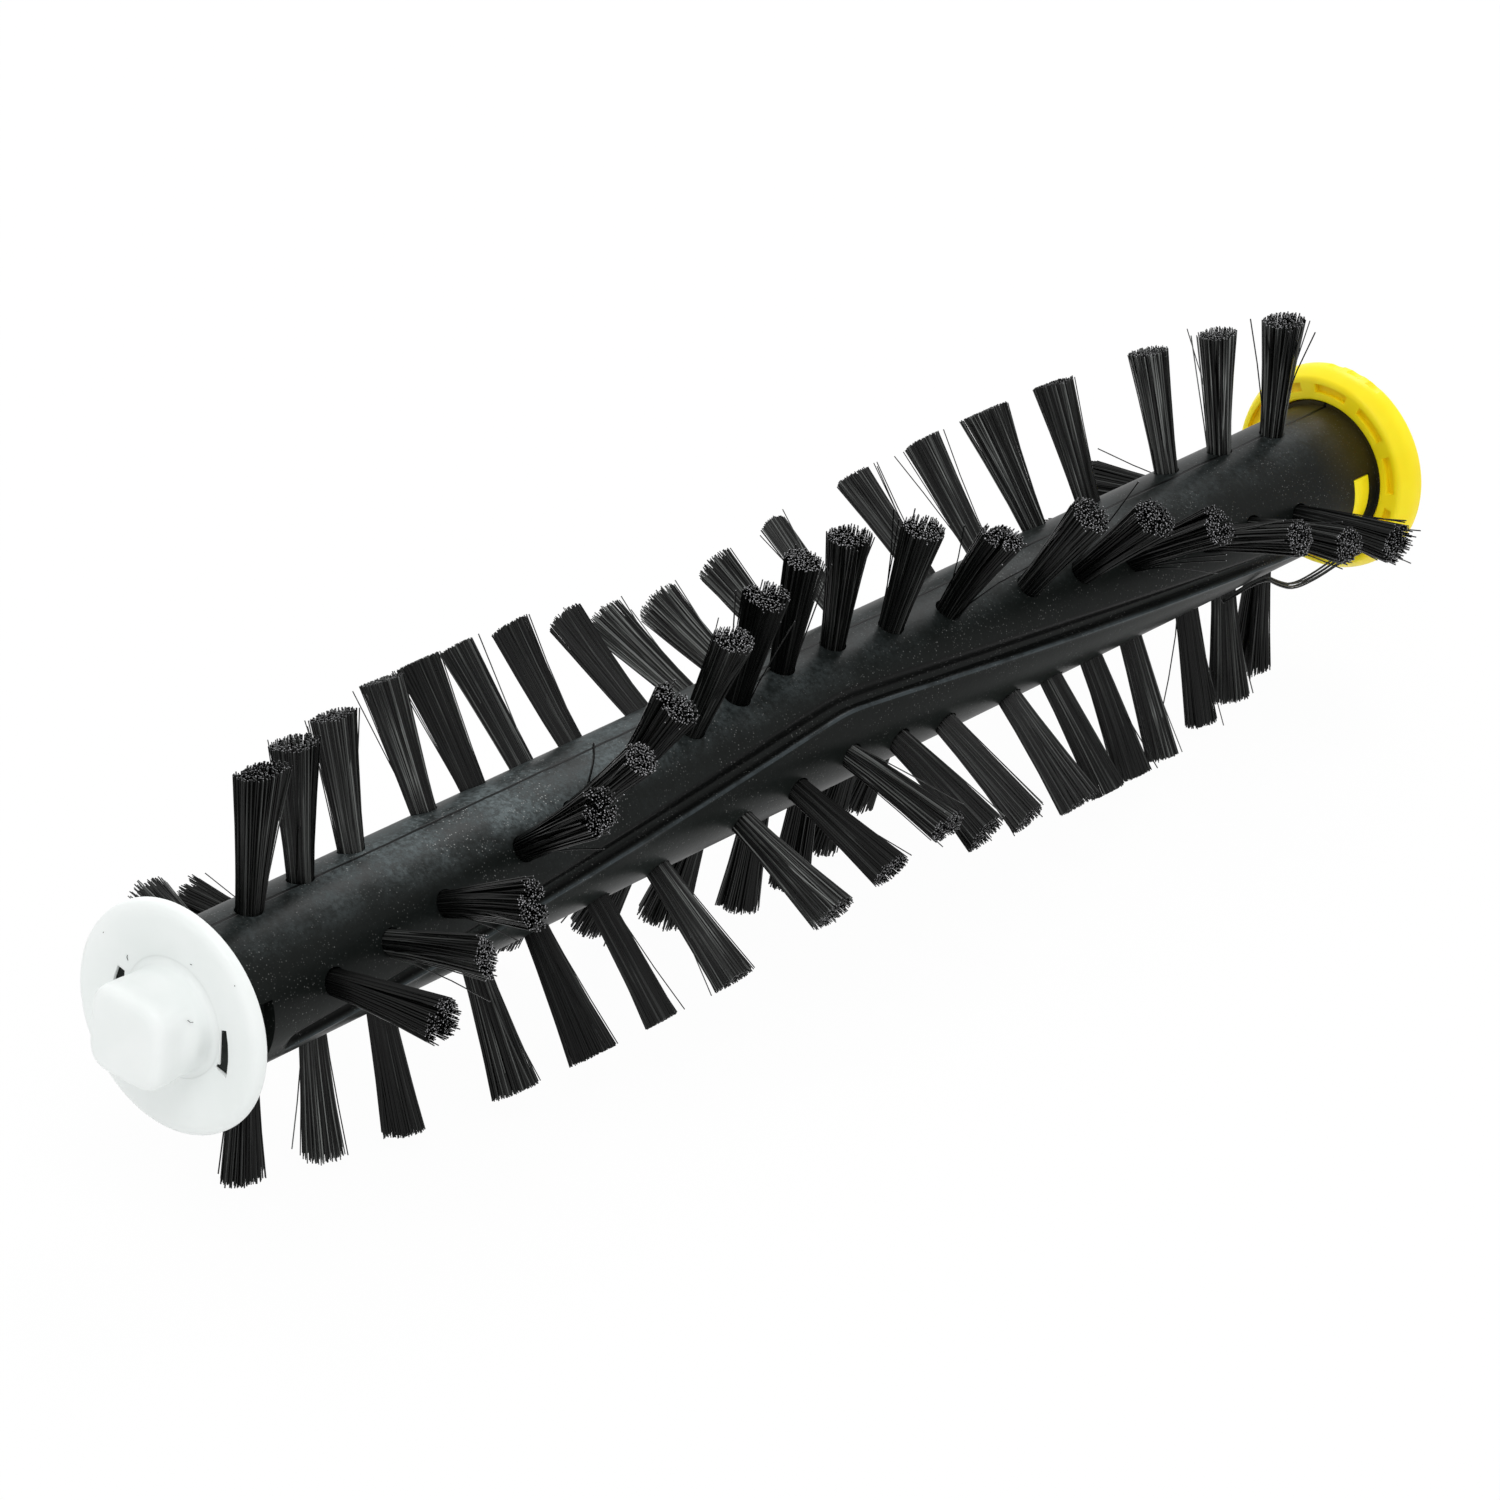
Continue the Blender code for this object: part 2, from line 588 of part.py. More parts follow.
def main():
    clear_scene()
    parts = new_collection("bristle_roller")
    core_plastic = new_material("charcoal_plastic", (0.020, 0.022, 0.024), 0.6)
    nylon = new_material("black_nylon", (0.009, 0.009, 0.010), 0.35)
    white_plastic = new_material("white_plastic", (0.80, 0.83, 0.82), 0.4)
    yellow_plastic = new_material("yellow_plastic", (0.92, 0.70, 0.03), 0.4)
    black_plastic = new_material("black_plastic", (0.020, 0.020, 0.022), 0.45)
    steel = new_material("steel", (0.60, 0.60, 0.61), 0.3, 1.0)
    bronze = new_material("bronze", (0.52, 0.32, 0.14), 0.4, 1.0)

    helpers = {
        name: new_collection(name)
        for name in ("joined_tufts", "core_cutters", "drive_tabs", "drive_cutters",
                     "bearing_tabs", "bearing_cutters", "holder_cutters", "clip_cutters")
    }
    build_tufts(parts, helpers["joined_tufts"], helpers["core_cutters"], nylon)
    build_core(parts, helpers["joined_tufts"], helpers["core_cutters"], core_plastic)
    build_drive_cap(parts, helpers["drive_tabs"], helpers["drive_cutters"], white_plastic)
    build_bearing_cap(parts, helpers["bearing_tabs"], helpers["bearing_cutters"], yellow_plastic)
    build_axle_pin(parts, steel)
    build_thrust_washer(parts, steel)
    build_bearing_bush(parts, bronze)
    build_bearing_holder(parts, helpers["holder_cutters"], black_plastic)
    build_retaining_clip(parts, helpers["clip_cutters"], steel)
    for collection in helpers.values():
        hide_helpers(collection)


main()
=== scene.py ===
# %% [markdown]
# # Finishing a bristle roller
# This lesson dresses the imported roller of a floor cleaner: a moulded core, two snap-in end
# caps, a small bearing, and seventy-four tufts of nylon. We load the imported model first, so
# that every finished piece can take its place and its size from the real part.

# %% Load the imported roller
import math
import random

import bmesh
import bpy
from mathutils import Matrix, Quaternion, Vector


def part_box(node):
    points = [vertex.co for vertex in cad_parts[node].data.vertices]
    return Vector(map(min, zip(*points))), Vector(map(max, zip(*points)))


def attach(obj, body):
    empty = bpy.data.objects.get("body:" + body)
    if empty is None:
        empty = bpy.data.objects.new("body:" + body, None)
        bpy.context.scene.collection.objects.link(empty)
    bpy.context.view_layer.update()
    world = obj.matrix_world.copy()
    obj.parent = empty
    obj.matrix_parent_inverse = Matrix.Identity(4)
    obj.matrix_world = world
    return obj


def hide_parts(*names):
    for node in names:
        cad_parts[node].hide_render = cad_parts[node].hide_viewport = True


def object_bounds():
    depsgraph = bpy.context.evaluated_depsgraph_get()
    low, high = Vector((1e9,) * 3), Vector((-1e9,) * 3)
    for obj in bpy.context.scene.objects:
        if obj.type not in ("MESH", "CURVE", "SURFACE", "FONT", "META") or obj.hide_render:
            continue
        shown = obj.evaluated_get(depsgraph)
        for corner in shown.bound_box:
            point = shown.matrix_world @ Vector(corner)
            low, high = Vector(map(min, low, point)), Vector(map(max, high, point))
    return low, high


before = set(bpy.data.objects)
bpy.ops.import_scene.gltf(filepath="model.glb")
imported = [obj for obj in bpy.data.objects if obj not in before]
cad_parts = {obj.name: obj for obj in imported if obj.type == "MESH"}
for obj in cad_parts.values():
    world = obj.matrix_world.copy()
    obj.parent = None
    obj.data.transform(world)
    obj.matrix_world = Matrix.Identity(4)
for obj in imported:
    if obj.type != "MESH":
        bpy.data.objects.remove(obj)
packed_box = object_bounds()
scene = bpy.context.scene
MM = 0.001


def in_mm(values):
    return [round(value / MM, 2) for value in values]


print("Nodes:", len(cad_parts), "Box in mm:", [in_mm(corner) for corner in packed_box])

# %% [markdown]
# ## Sizes
# The roller's axis is X. Angles are measured about it from Z towards -Y, so 0 is the top of
# the roller and 90 the side that faces the camera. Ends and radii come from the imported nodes,
# and the few sizes that the boxes can't tell are named here.

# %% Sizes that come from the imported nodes
core_low, core_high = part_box("roller_core")
drive_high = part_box("drive_end_cap")[1]
ring_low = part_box("bearing_end_cap")[0]
washer_low, washer_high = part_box("thrust_washer")
holder_low, holder_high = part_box("bearing_holder")
bush_low, bush_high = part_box("bearing_bush")
clip_low, clip_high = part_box("retaining_clip")
pin_low, pin_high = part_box("axle_pin")

CORE_START = core_low.x
CORE_END = core_high.x
FLANGE_RADIUS = drive_high.z
print("The core's ends in mm:", in_mm((CORE_START, CORE_END)))

# %% Sizes of the core and the tufts
CORE_RADIUS = 6.9 * MM
TIP_REACH = 19.0 * MM
TUFT_RADIUS = 1.15 * MM
PATTERN_MIDDLE = (CORE_START + CORE_END) / 2 - 1.3 * MM
ROW_REACH = (CORE_END - CORE_START) / 2 - 8.8 * MM
GROUP_GAP = 1.46
TUFT_PITCH = ROW_REACH / (7 + 2 * GROUP_GAP)
GROUP_PITCH = TUFT_PITCH * GROUP_GAP
ROW_SWEEP = math.radians(80)
SOCKET_RADIUS = 5.4 * MM
SOCKET_DEPTH = 5.3 * MM

# The two grooves: where their points are, how far they sweep round, and their section.
GROOVE_ANGLES = (math.radians(52), math.radians(232))
GROOVE_SWEEP = math.radians(60)
GROOVE_REACH = 74.3 * MM
GROOVE_BEND = 2.0 * MM
GROOVE_DEPTH = 0.75 * MM
GROOVE_HALF_WIDTH = 1.0 * MM
GROOVE_SLOPE = 1.1 * MM
GROOVE_WALL = 0.38 * MM
LIP_HEIGHT = 0.07 * MM
LONGEST_SWEEP = math.hypot(GROOVE_REACH, GROOVE_BEND) - GROOVE_BEND

# Rows: name, the angle of the chevron's point in degrees, and the tufts in the middle and outer
# groups. From the middle to the end, the longest rows have seven pitches and two wider gaps.
ROWS = (
    ("top", 0, 6, (3, 3)),
    ("front", 97, 5, (4, 3)),
    ("bottom", 180, 6, (3, 3)),
    ("rear", 277, 5, (4, 3)),
)
print("The tufts' pitch in mm, within and between groups:", in_mm((TUFT_PITCH, GROUP_PITCH)))

# %% Places round the roller


def around(angle):
    """The direction out from the axis at an angle in radians."""
    return Vector((0, -math.sin(angle), math.cos(angle)))


def place_at(x, angle, radius):
    """The point at a station along the axis, an angle round it and a distance from it."""
    return Vector((x, 0, 0)) + around(angle) * radius


def row_offsets(middle_count, outer_counts):
    """Places of a row's tufts along the axis, from the middle of the pattern."""
    offsets = [TUFT_PITCH * (index - (middle_count - 1) / 2) for index in range(middle_count)]
    reach = offsets[-1]
    for count in outer_counts:
        reach += GROUP_PITCH
        group = [reach + TUFT_PITCH * index for index in range(count)]
        offsets += group + [-place for place in group]
        reach = group[-1]
    return sorted(offsets)


def tuft_places():
    """Every tuft's name, station along the axis and angle round it."""
    for row, point_angle, middle_count, outer_counts in ROWS:
        for number, offset in enumerate(row_offsets(middle_count, outer_counts), start=1):
            angle = math.radians(point_angle) + ROW_SWEEP * abs(offset) / ROW_REACH
            yield f"{row}_tuft_{number:02d}", PATTERN_MIDDLE + offset, angle


print("Tufts:", len(list(tuft_places())))

# %% [markdown]
# ## The camera
# The brush lies on white and the camera looks down along it from its drive end, through a long
# lens. The place and the aim below were found from the flanges' rims and the tufts' tips. The
# picture leans a little, which is a roll about the line of sight.

# %% Camera
CAMERA_PLACE = Vector((-376.4, -346.0, 305.4)) * MM
CAMERA_AIM = Vector((79.9, -1.0, 0)) * MM
CAMERA_ROLL = math.radians(6.4)
CAMERA_LENS = 171.8

camera = bpy.data.objects.new("camera", bpy.data.cameras.new("camera"))
scene.collection.objects.link(camera)
camera.location = CAMERA_PLACE
camera.rotation_mode = "QUATERNION"
level = (CAMERA_AIM - CAMERA_PLACE).to_track_quat("-Z", "Y")
camera.rotation_quaternion = level @ Quaternion((0, 0, 1), CAMERA_ROLL)
camera.data.lens = CAMERA_LENS
camera.data.sensor_width = 36
camera.data.clip_end = 10
scene.camera = camera
print("Camera distance in mm:", in_mm([(CAMERA_AIM - CAMERA_PLACE).length]))

# %% [markdown]
# ## Helpers for materials
# A material is a Principled shader fed by patterns. The small functions below add a node, wire
# it and return its output, so that each finish reads as a short recipe.

# %% Node helpers


class Recipe:
    """Adds nodes to one node tree, by short calls that return an output socket."""

    def __init__(self, tree):
        self.tree = tree

    def node(self, kind, settings=None, inputs=None):
        made = self.tree.nodes.new(kind)
        for name, value in (settings or {}).items():
            setattr(made, name, value)
        for name, value in (inputs or {}).items():
            self.plug(value, made.inputs[name])
        return made

    def plug(self, value, socket):
        """Wires a value that comes from a node, and sets one that is the same everywhere."""
        if isinstance(value, bpy.types.NodeSocket):
            self.tree.links.new(value, socket)
        else:
            socket.default_value = value

    def math(self, operation, *values):
        inputs = dict(enumerate(values))
        return self.node("ShaderNodeMath", {"operation": operation}, inputs).outputs[0]

    def product(self, first, *others):
        for other in others:
            first = self.math("MULTIPLY", first, other)
        return first

    def ramp(self, value, low, high, from_value=0.0, to_value=1.0):
        """Carries a value from one range to another, with soft ends."""
        inputs = {"Value": value, "From Min": low, "From Max": high,
                  "To Min": from_value, "To Max": to_value}
        settings = {"interpolation_type": "SMOOTHSTEP"}
        return self.node("ShaderNodeMapRange", settings, inputs).outputs[0]

    def band(self, value, low, high, soft):
        """1 where the value is between low and high, fading to 0 over a soft edge."""
        rise = self.ramp(value, low - soft, low)
        return self.product(rise, self.ramp(value, high, high + soft, 1.0, 0.0))

    def object_place(self):
        """Object coordinates, to read patterns on."""
        return self.node("ShaderNodeTexCoord").outputs["Object"]

    def noise(self, place, scale, detail=2.0, roughness=0.5):
        inputs = {"Vector": place, "Scale": scale, "Detail": detail, "Roughness": roughness}
        return self.node("ShaderNodeTexNoise", None, inputs).outputs["Fac"]

    def mix(self, factor, first, second):
        made = self.node("ShaderNodeMix", {"data_type": "RGBA"})
        for index, value in ((0, factor), (6, first), (7, second)):
            self.plug(value, made.inputs[index])
        return made.outputs[2]

    def finish(self, shader, **values):
        """Gives a shader its patterns and its plain values, by the names of its sockets."""
        for label, value in values.items():
            self.plug(value, shader.inputs[label.replace("_", " ")])


def colour(red, green, blue):
    return (red, green, blue, 1)


def new_group(name, inputs, outputs):
    """A node group with float inputs and outputs, its recipe, and a place to read patterns on."""
    group = bpy.data.node_groups.new(name, "ShaderNodeTree")
    number = "NodeSocketFloat"
    for label, value in inputs.items():
        socket = group.interface.new_socket(label, in_out="INPUT", socket_type=number)
        socket.default_value = value
    for label in outputs:
        group.interface.new_socket(label, in_out="OUTPUT", socket_type=number)
    recipe = Recipe(group)
    given = recipe.node("NodeGroupInput").outputs
    made = recipe.node("NodeGroupOutput").inputs
    return group, recipe, given, made, recipe.object_place()


def new_material(name):
    """A material with its recipe, its shader, and object coordinates to read patterns on."""
    material = bpy.data.materials.new(name)
    material.use_nodes = True
    recipe = Recipe(material.node_tree)
    shader = material.node_tree.nodes["Principled BSDF"]
    return material, recipe, shader, recipe.object_place()


# %% [markdown]
# ## Shared effects
# Dust and moulded grain are on more than one piece, so each is a node group. Dust is a sparse
# scatter of pale specks in drifting patches. Grain is the fine unevenness of a moulded surface,
# which breaks up a reflection without showing as a shape.

# %% Dust group


def scattered_specks(recipe, place, scale, radius, share):
    """Round specks in some of the cells of a Voronoi pattern."""
    cells = recipe.node("ShaderNodeTexVoronoi", None, {"Vector": place, "Scale": scale})
    near = recipe.ramp(cells.outputs["Distance"], radius * 0.4, radius, 1.0, 0.0)
    cell_colour = {"Color": cells.outputs["Color"]}
    chances = recipe.node("ShaderNodeSeparateColor", None, cell_colour).outputs
    chosen = recipe.math("GREATER_THAN", chances[0], 1 - share)
    return recipe.product(near, chosen, recipe.ramp(chances[1], 0.0, 1.0, 0.15, 1.0))


dust_inputs = {"Speck Scale": 2600.0, "Amount": 0.5}
dust_group, recipe, given, made, place = new_group("dust", dust_inputs, ("Specks", "Haze"))
fine = scattered_specks(recipe, place, given["Speck Scale"], 0.36, 0.45)
coarse_scale = recipe.product(given["Speck Scale"], 0.32)
coarse = scattered_specks(recipe, place, coarse_scale, 0.14, 0.10)
drift = recipe.ramp(recipe.noise(place, 170, 4, 0.6), 0.40, 0.62, 0.12, 1.0)
both_sizes = recipe.math("MAXIMUM", fine, coarse)
recipe.plug(recipe.product(both_sizes, drift, given["Amount"]), made["Specks"])
patches = recipe.ramp(recipe.noise(place, 140, 6, 0.68), 0.36, 0.64, 0.15, 1.0)
mottle = recipe.ramp(recipe.noise(place, 1900, 4, 0.75), 0.34, 0.64, 0.25, 1.0)
recipe.plug(recipe.product(patches, mottle, given["Amount"]), made["Haze"])
print("Dust group nodes:", len(dust_group.nodes))

# %% Grain group
grain_group, recipe, given, made, place = new_group("grain", {"Scale": 2500.0}, ("Height",))
fine = recipe.noise(place, given["Scale"], 3, 0.6)
broad = recipe.noise(place, recipe.product(given["Scale"], 0.12), 2, 0.5)
recipe.plug(recipe.math("ADD", fine, recipe.product(broad, 1.5)), made["Height"])
print("Grain group nodes:", len(grain_group.nodes))

# %% Using the groups


def use_group(recipe, group, **values):
    """Places a group in a material, with its own values."""
    node = recipe.node("ShaderNodeGroup", {"node_tree": group})
    for label, value in values.items():
        node.inputs[label.replace("_", " ")].default_value = value
    return node.outputs


def bump(recipe, height, strength, distance):
    """A normal that makes a height catch the light."""
    inputs = {"Height": height, "Strength": strength, "Distance": distance}
    return recipe.node("ShaderNodeBump", None, inputs).outputs[0]


def grained(recipe, scale, strength):
    return bump(recipe, use_group(recipe, grain_group, Scale=scale)["Height"], strength, 0.03 * MM)


def clouds(recipe, place, scale, threshold=0.35):
    """The soft unevenness of a moulded or worn surface, from 0 to 1."""
    return recipe.ramp(recipe.noise(place, scale, 4), threshold, 0.7)


def place_and_radius(recipe, place):
    """A point's X, Y and Z, and its distance from the roller's axis."""
    xyz = recipe.node("ShaderNodeSeparateXYZ", None, {"Vector": place}).outputs
    squares = [recipe.product(xyz[axis], xyz[axis]) for axis in "YZ"]
    return xyz, recipe.math("SQRT", recipe.math("ADD", *squares))


def describe(material):
    print(material.name, "nodes:", len(material.node_tree.nodes))


# %% [markdown]
# ## The core's finish
# The core is charcoal plastic with a dusty haze and a painted sheen on its upper side, and a thin
# dark parting line where the two halves of its mould met. Its grooves are painted dark with shade
# on their slopes and at the foot of their walls, and painted pale on their lips as a highlight. A
# painted picture could show all that, but would need an unwrapped surface. Here the finish works
# out how far each point lies from a groove, with the same formula as the shape.

# %% Where the grooves are, for the finish


def groove_distance(recipe, xyz):
    """The distance across the nearest groove, measured as the core's shape measures it."""
    turn = recipe.math("ARCTAN2", recipe.product(xyz["Y"], -1.0), xyz["Z"])
    along = recipe.math("SUBTRACT", xyz["X"], PATTERN_MIDDLE)
    squares = recipe.math("ADD", recipe.product(along, along), GROOVE_BEND ** 2)
    reach = recipe.math("SUBTRACT", recipe.math("SQRT", squares), GROOVE_BEND)
    swept = recipe.product(reach, GROOVE_SWEEP / LONGEST_SWEEP)
    unswept = recipe.math("SUBTRACT", turn, swept)
    from_groove = recipe.math("SUBTRACT", unswept, GROOVE_ANGLES[0])
    nearest = recipe.math("WRAP", from_groove, math.pi / 2, -math.pi / 2)
    return recipe.product(nearest, CORE_RADIUS), recipe.math("ABSOLUTE", along)


# %% Charcoal plastic
SEAM_ANGLE = math.radians(-4)
SEAM_WIDTH = 0.20 * MM
SEAM_WANDER = 0.24 * MM

charcoal, recipe, shader, place = new_material("charcoal_plastic_finish")
xyz = recipe.node("ShaderNodeSeparateXYZ", None, {"Vector": place}).outputs
wander = recipe.product(recipe.math("SUBTRACT", recipe.noise(place, 260, 3), 0.5), SEAM_WANDER)
across = recipe.math("ADD", recipe.product(xyz["Y"], math.cos(SEAM_ANGLE)),
                     recipe.product(xyz["Z"], math.sin(SEAM_ANGLE)))
seam_distance = recipe.math("ABSOLUTE", recipe.math("ADD", across, wander))
seam = recipe.ramp(seam_distance, SEAM_WIDTH * 0.5, SEAM_WIDTH, 1.0, 0.0)

# Dust lies on the upper side, most of it near the drive end, and a painted sheen with it: the top
# is painted lighter, as the key light's sheen would make it. The underside is painted paler, as
# light thrown up from the white floor.
dust = use_group(recipe, dust_group, Speck_Scale=4200.0, Amount=1.0)
upper = recipe.ramp(xyz["Z"], 0.68 * CORE_RADIUS, 0.97 * CORE_RADIUS, 0.05, 1.0)
to_the_far_end = recipe.ramp(xyz["X"], 40 * MM, 95 * MM, 1.0, 0.20)
by_the_white_cap = recipe.ramp(xyz["X"], 14 * MM, 38 * MM, 0.25, 1.0)
settled_dust_and_sheen = recipe.product(upper, recipe.product(to_the_far_end, by_the_white_cap))
haze_and_sheen = recipe.product(dust["Haze"], settled_dust_and_sheen)
# Painted light from the floor: the underside is painted a paler charcoal.
painted_floor_light = recipe.ramp(xyz["Z"], -0.35 * CORE_RADIUS, 0.25 * CORE_RADIUS, 1.0, 0.0)
plain = recipe.mix(painted_floor_light, colour(0.0045, 0.0058, 0.0052), colour(0.0110, 0.0135, 0.0122))
# Dust haze and painted sheen: the upper side is painted a pale blue-grey.
hazed_and_sheened = recipe.mix(haze_and_sheen, plain, colour(0.125, 0.150, 0.155))

# The grooves: painted shade on the slope and at the foot of the wall, the hazed floor between,
# and a painted highlight on the lip.
side, from_middle = groove_distance(recipe, xyz)
in_groove = recipe.ramp(from_middle, GROOVE_REACH - 1.0 * MM, GROOVE_REACH, 1.0, 0.0)
slope = recipe.band(side, -0.95 * MM, -0.05 * MM, 0.25 * MM)
foot = recipe.band(side, 0.62 * MM, 0.84 * MM, 0.06 * MM)
# Painted shade in the groove, on its slope and at the foot of its wall.
shade = recipe.product(recipe.math("MAXIMUM", slope, foot), in_groove, 0.85)
shaded = recipe.mix(shade, hazed_and_sheened, colour(0.0025, 0.0028, 0.0027))
# A painted highlight along the groove's lip, broken up by noise.
lip = recipe.product(recipe.band(side, 0.98 * MM, 1.22 * MM, 0.10 * MM), in_groove)
lip_highlight_breakup = recipe.ramp(recipe.noise(place, 420, 4, 0.6), 0.3, 0.6, 0.25, 0.8)
lip_highlighted = recipe.mix(recipe.product(lip, lip_highlight_breakup), shaded, colour(0.050, 0.062, 0.068))

# Pale specks, a painted warm reflection of the yellow cap near the bearing end, and the dark seam.
speck = recipe.product(dust["Specks"], recipe.ramp(settled_dust_and_sheen, 0, 1, 0.28, 0.80))
specked = recipe.mix(speck, lip_highlighted, colour(0.42, 0.43, 0.42))
# Painted reflection of the yellow cap, strongest on the top of the core near the ring.
near_ring_reflection = recipe.ramp(xyz["X"], CORE_END - 10 * MM, CORE_END - 2 * MM, 0.0, 0.65)
tint = recipe.product(near_ring_reflection, recipe.ramp(xyz["Z"], 0, 0.7 * CORE_RADIUS, 0.15, 1.0))
reflection_tinted = recipe.mix(tint, specked, colour(0.050, 0.038, 0.006))
seamed = recipe.mix(recipe.product(seam, 0.95), reflection_tinted, colour(0.001, 0.001, 0.001))

grain = use_group(recipe, grain_group, Scale=2600.0)["Height"]
height = recipe.math("SUBTRACT", grain, recipe.product(seam, 4.0))
recipe.finish(shader, Base_Color=seamed, Roughness=recipe.ramp(haze_and_sheen, 0, 0.6, 0.38, 0.62),
              Specular_IOR_Level=0.085, Normal=bump(recipe, height, 0.35, 0.04 * MM))
describe(charcoal)

# %% [markdown]
# ## The caps' finishes
# The caps are plain moulded plastic, one white and one yellow. Such plastic lets a little light
# in and out again, which softens its shadows, so both have some subsurface scattering. Soft
# clouds of two close shades keep them from looking painted. Inside the ring's pockets the yellow
# is painted deeper, as painted light thrown from wall to wall.

# %% White plastic
white, recipe, shader, place = new_material("white_plastic_finish")
cloud = clouds(recipe, place, 160)
recipe.finish(shader, Roughness=recipe.ramp(cloud, 0, 1, 0.38, 0.46),
              Base_Color=recipe.mix(cloud, colour(0.84, 0.875, 0.862), colour(0.87, 0.90, 0.89)),
              Subsurface_Weight=0.35, Subsurface_Radius=(1.0, 1.0, 1.0),
              Subsurface_Scale=0.8 * MM, Normal=grained(recipe, 1500.0, 0.12))
describe(white)

# %% Yellow plastic
RECESS_RADIUS = 7.4 * MM
RECESS_DEPTH = 1.5 * MM
RING_FLOOR = CORE_END + 0.3 * MM
RING_FACE = RING_FLOOR - RECESS_DEPTH
POCKET_RADII = (8.25 * MM, 9.15 * MM)

yellow, recipe, shader, place = new_material("yellow_plastic_finish")
cloud = clouds(recipe, place, 200)
plain = recipe.mix(cloud, colour(0.98, 0.77, 0.009), colour(1.0, 0.82, 0.016))
xyz, radius = place_and_radius(recipe, place)
# Painted bounce light: the pockets are painted a deeper yellow.
sunk = recipe.band(xyz["X"], RING_FACE + 0.3 * MM, RING_FACE + 2 * MM, 0.25 * MM)
pocket_painted_bounce = recipe.product(sunk, recipe.band(radius, *POCKET_RADII, 0.15 * MM))
recipe.finish(shader, Base_Color=recipe.mix(pocket_painted_bounce, plain, colour(0.98, 0.73, 0.005)),
              Roughness=recipe.ramp(cloud, 0, 1, 0.36, 0.44), Specular_IOR_Level=0.22,
              Subsurface_Weight=0.25, Subsurface_Radius=(1.0, 0.55, 0.1),
              Subsurface_Scale=0.8 * MM, Normal=grained(recipe, 1500.0, 0.12))
describe(yellow)

# %% [markdown]
# ## The bearing's finishes
# The holder is black plastic with a satin skin. The pin, the washer and the clip are steel and
# the bush is bronze. All four were turned on a lathe, which leaves fine rings about the axis, so
# their pattern is read from the distance to the axis and not from the point itself.

# %% Black plastic of the bearing holder
black, recipe, shader, place = new_material("black_plastic_finish")
cloud = clouds(recipe, place, 240)
shades = colour(0.016, 0.016, 0.018), colour(0.030, 0.030, 0.032)
recipe.finish(shader, Base_Color=recipe.mix(cloud, *shades),
              Roughness=recipe.ramp(cloud, 0, 1, 0.38, 0.50), Normal=grained(recipe, 2200.0, 0.25))
describe(black)

# %% Turned steel and bronze


def turned_metal(name, pale, dark, roughness):
    """Metal turned on a lathe: the pattern varies only along the axis and with the radius."""
    material, recipe, shader, place = new_material(name)
    xyz, radius = place_and_radius(recipe, place)
    lathe_place = recipe.node("ShaderNodeCombineXYZ", None, {"X": xyz["X"], "Y": radius})
    rings = recipe.noise(lathe_place.outputs[0], 9000, 2)
    tint = clouds(recipe, place, 500, 0.4)
    recipe.finish(shader, Base_Color=recipe.mix(tint, colour(*pale), colour(*dark)), Metallic=1.0,
                  Roughness=recipe.ramp(rings, 0.3, 0.7, roughness, roughness + 0.15),
                  Normal=bump(recipe, rings, 0.3, 0.02 * MM))
    describe(material)
    return material


steel = turned_metal("steel_finish", (0.62, 0.62, 0.63), (0.45, 0.45, 0.46), 0.22)
bronze = turned_metal("bronze_finish", (0.55, 0.34, 0.15), (0.38, 0.22, 0.09), 0.38)

# %% [markdown]
# ## The filaments' finish
# Nylon filament is black and glossy along its side and grey where it was cut. Each filament
# carries a number of its own, which picks its shade, and each tuft a second one for its dust and
# for the light painted on its row. A high power keeps most filaments black and leaves a few pale,
# which paint the grey streaks of light along a tuft.

# %% Nylon, along a filament and at its cut end


def nylon_finish(name, power, amount, dark, pale, roughness, specular):
    """Nylon whose shade follows each filament's own number, and an amount if one is named."""
    material, recipe, shader, _ = new_material(name)
    strand = recipe.node("ShaderNodeAttribute", {"attribute_name": "strand"}).outputs["Fac"]
    shade = recipe.math("POWER", strand, power)
    if amount:
        factor = recipe.node("ShaderNodeAttribute", {"attribute_name": amount}).outputs["Fac"]
        shade = recipe.product(shade, factor)
    recipe.finish(shader, Base_Color=recipe.mix(shade, colour(*dark), colour(*pale)),
                  Roughness=recipe.ramp(strand, 0, 1, *roughness), Specular_IOR_Level=specular)
    describe(material)
    return material


nylon = nylon_finish("black_nylon_finish", 5.0, "dust_and_light", (0.0025, 0.0028, 0.0026),
                     (0.205, 0.215, 0.208), (0.22, 0.38), 0.18)
cut_nylon = nylon_finish("cut_nylon", 1.7, None, (0.010, 0.010, 0.010),
                         (0.50, 0.50, 0.52), (0.45, 0.65), 0.25)

# %% [markdown]
# ## Helpers for shapes
# Everything on a roller is turned about one axis, so the main helper spins a profile of
# (place along X, radius) points. Corners are softened first, because a moulded corner is never
# quite sharp, and the small round is what catches the light.

# %% Shape helpers
ROUND_STEPS = 5
MERGE_DISTANCE = 0.002 * MM
CREASE_ANGLE = math.radians(35)


def softened(profile):
    """A profile whose corners are rounded where a point carries a radius as a third value."""
    points = []
    for index, point in enumerate(profile):
        radius = point[2] if len(point) > 2 else 0
        corner = Vector(point[:2])
        if not radius:
            points.append(corner)
            continue
        before = Vector(profile[index - 1][:2])
        after = Vector(profile[(index + 1) % len(profile)][:2])
        start = corner + (before - corner).normalized() * radius
        end = corner + (after - corner).normalized() * radius
        for step in range(ROUND_STEPS + 1):
            t = step / ROUND_STEPS
            points.append(start.lerp(corner, t).lerp(corner.lerp(end, t), t))
    return points


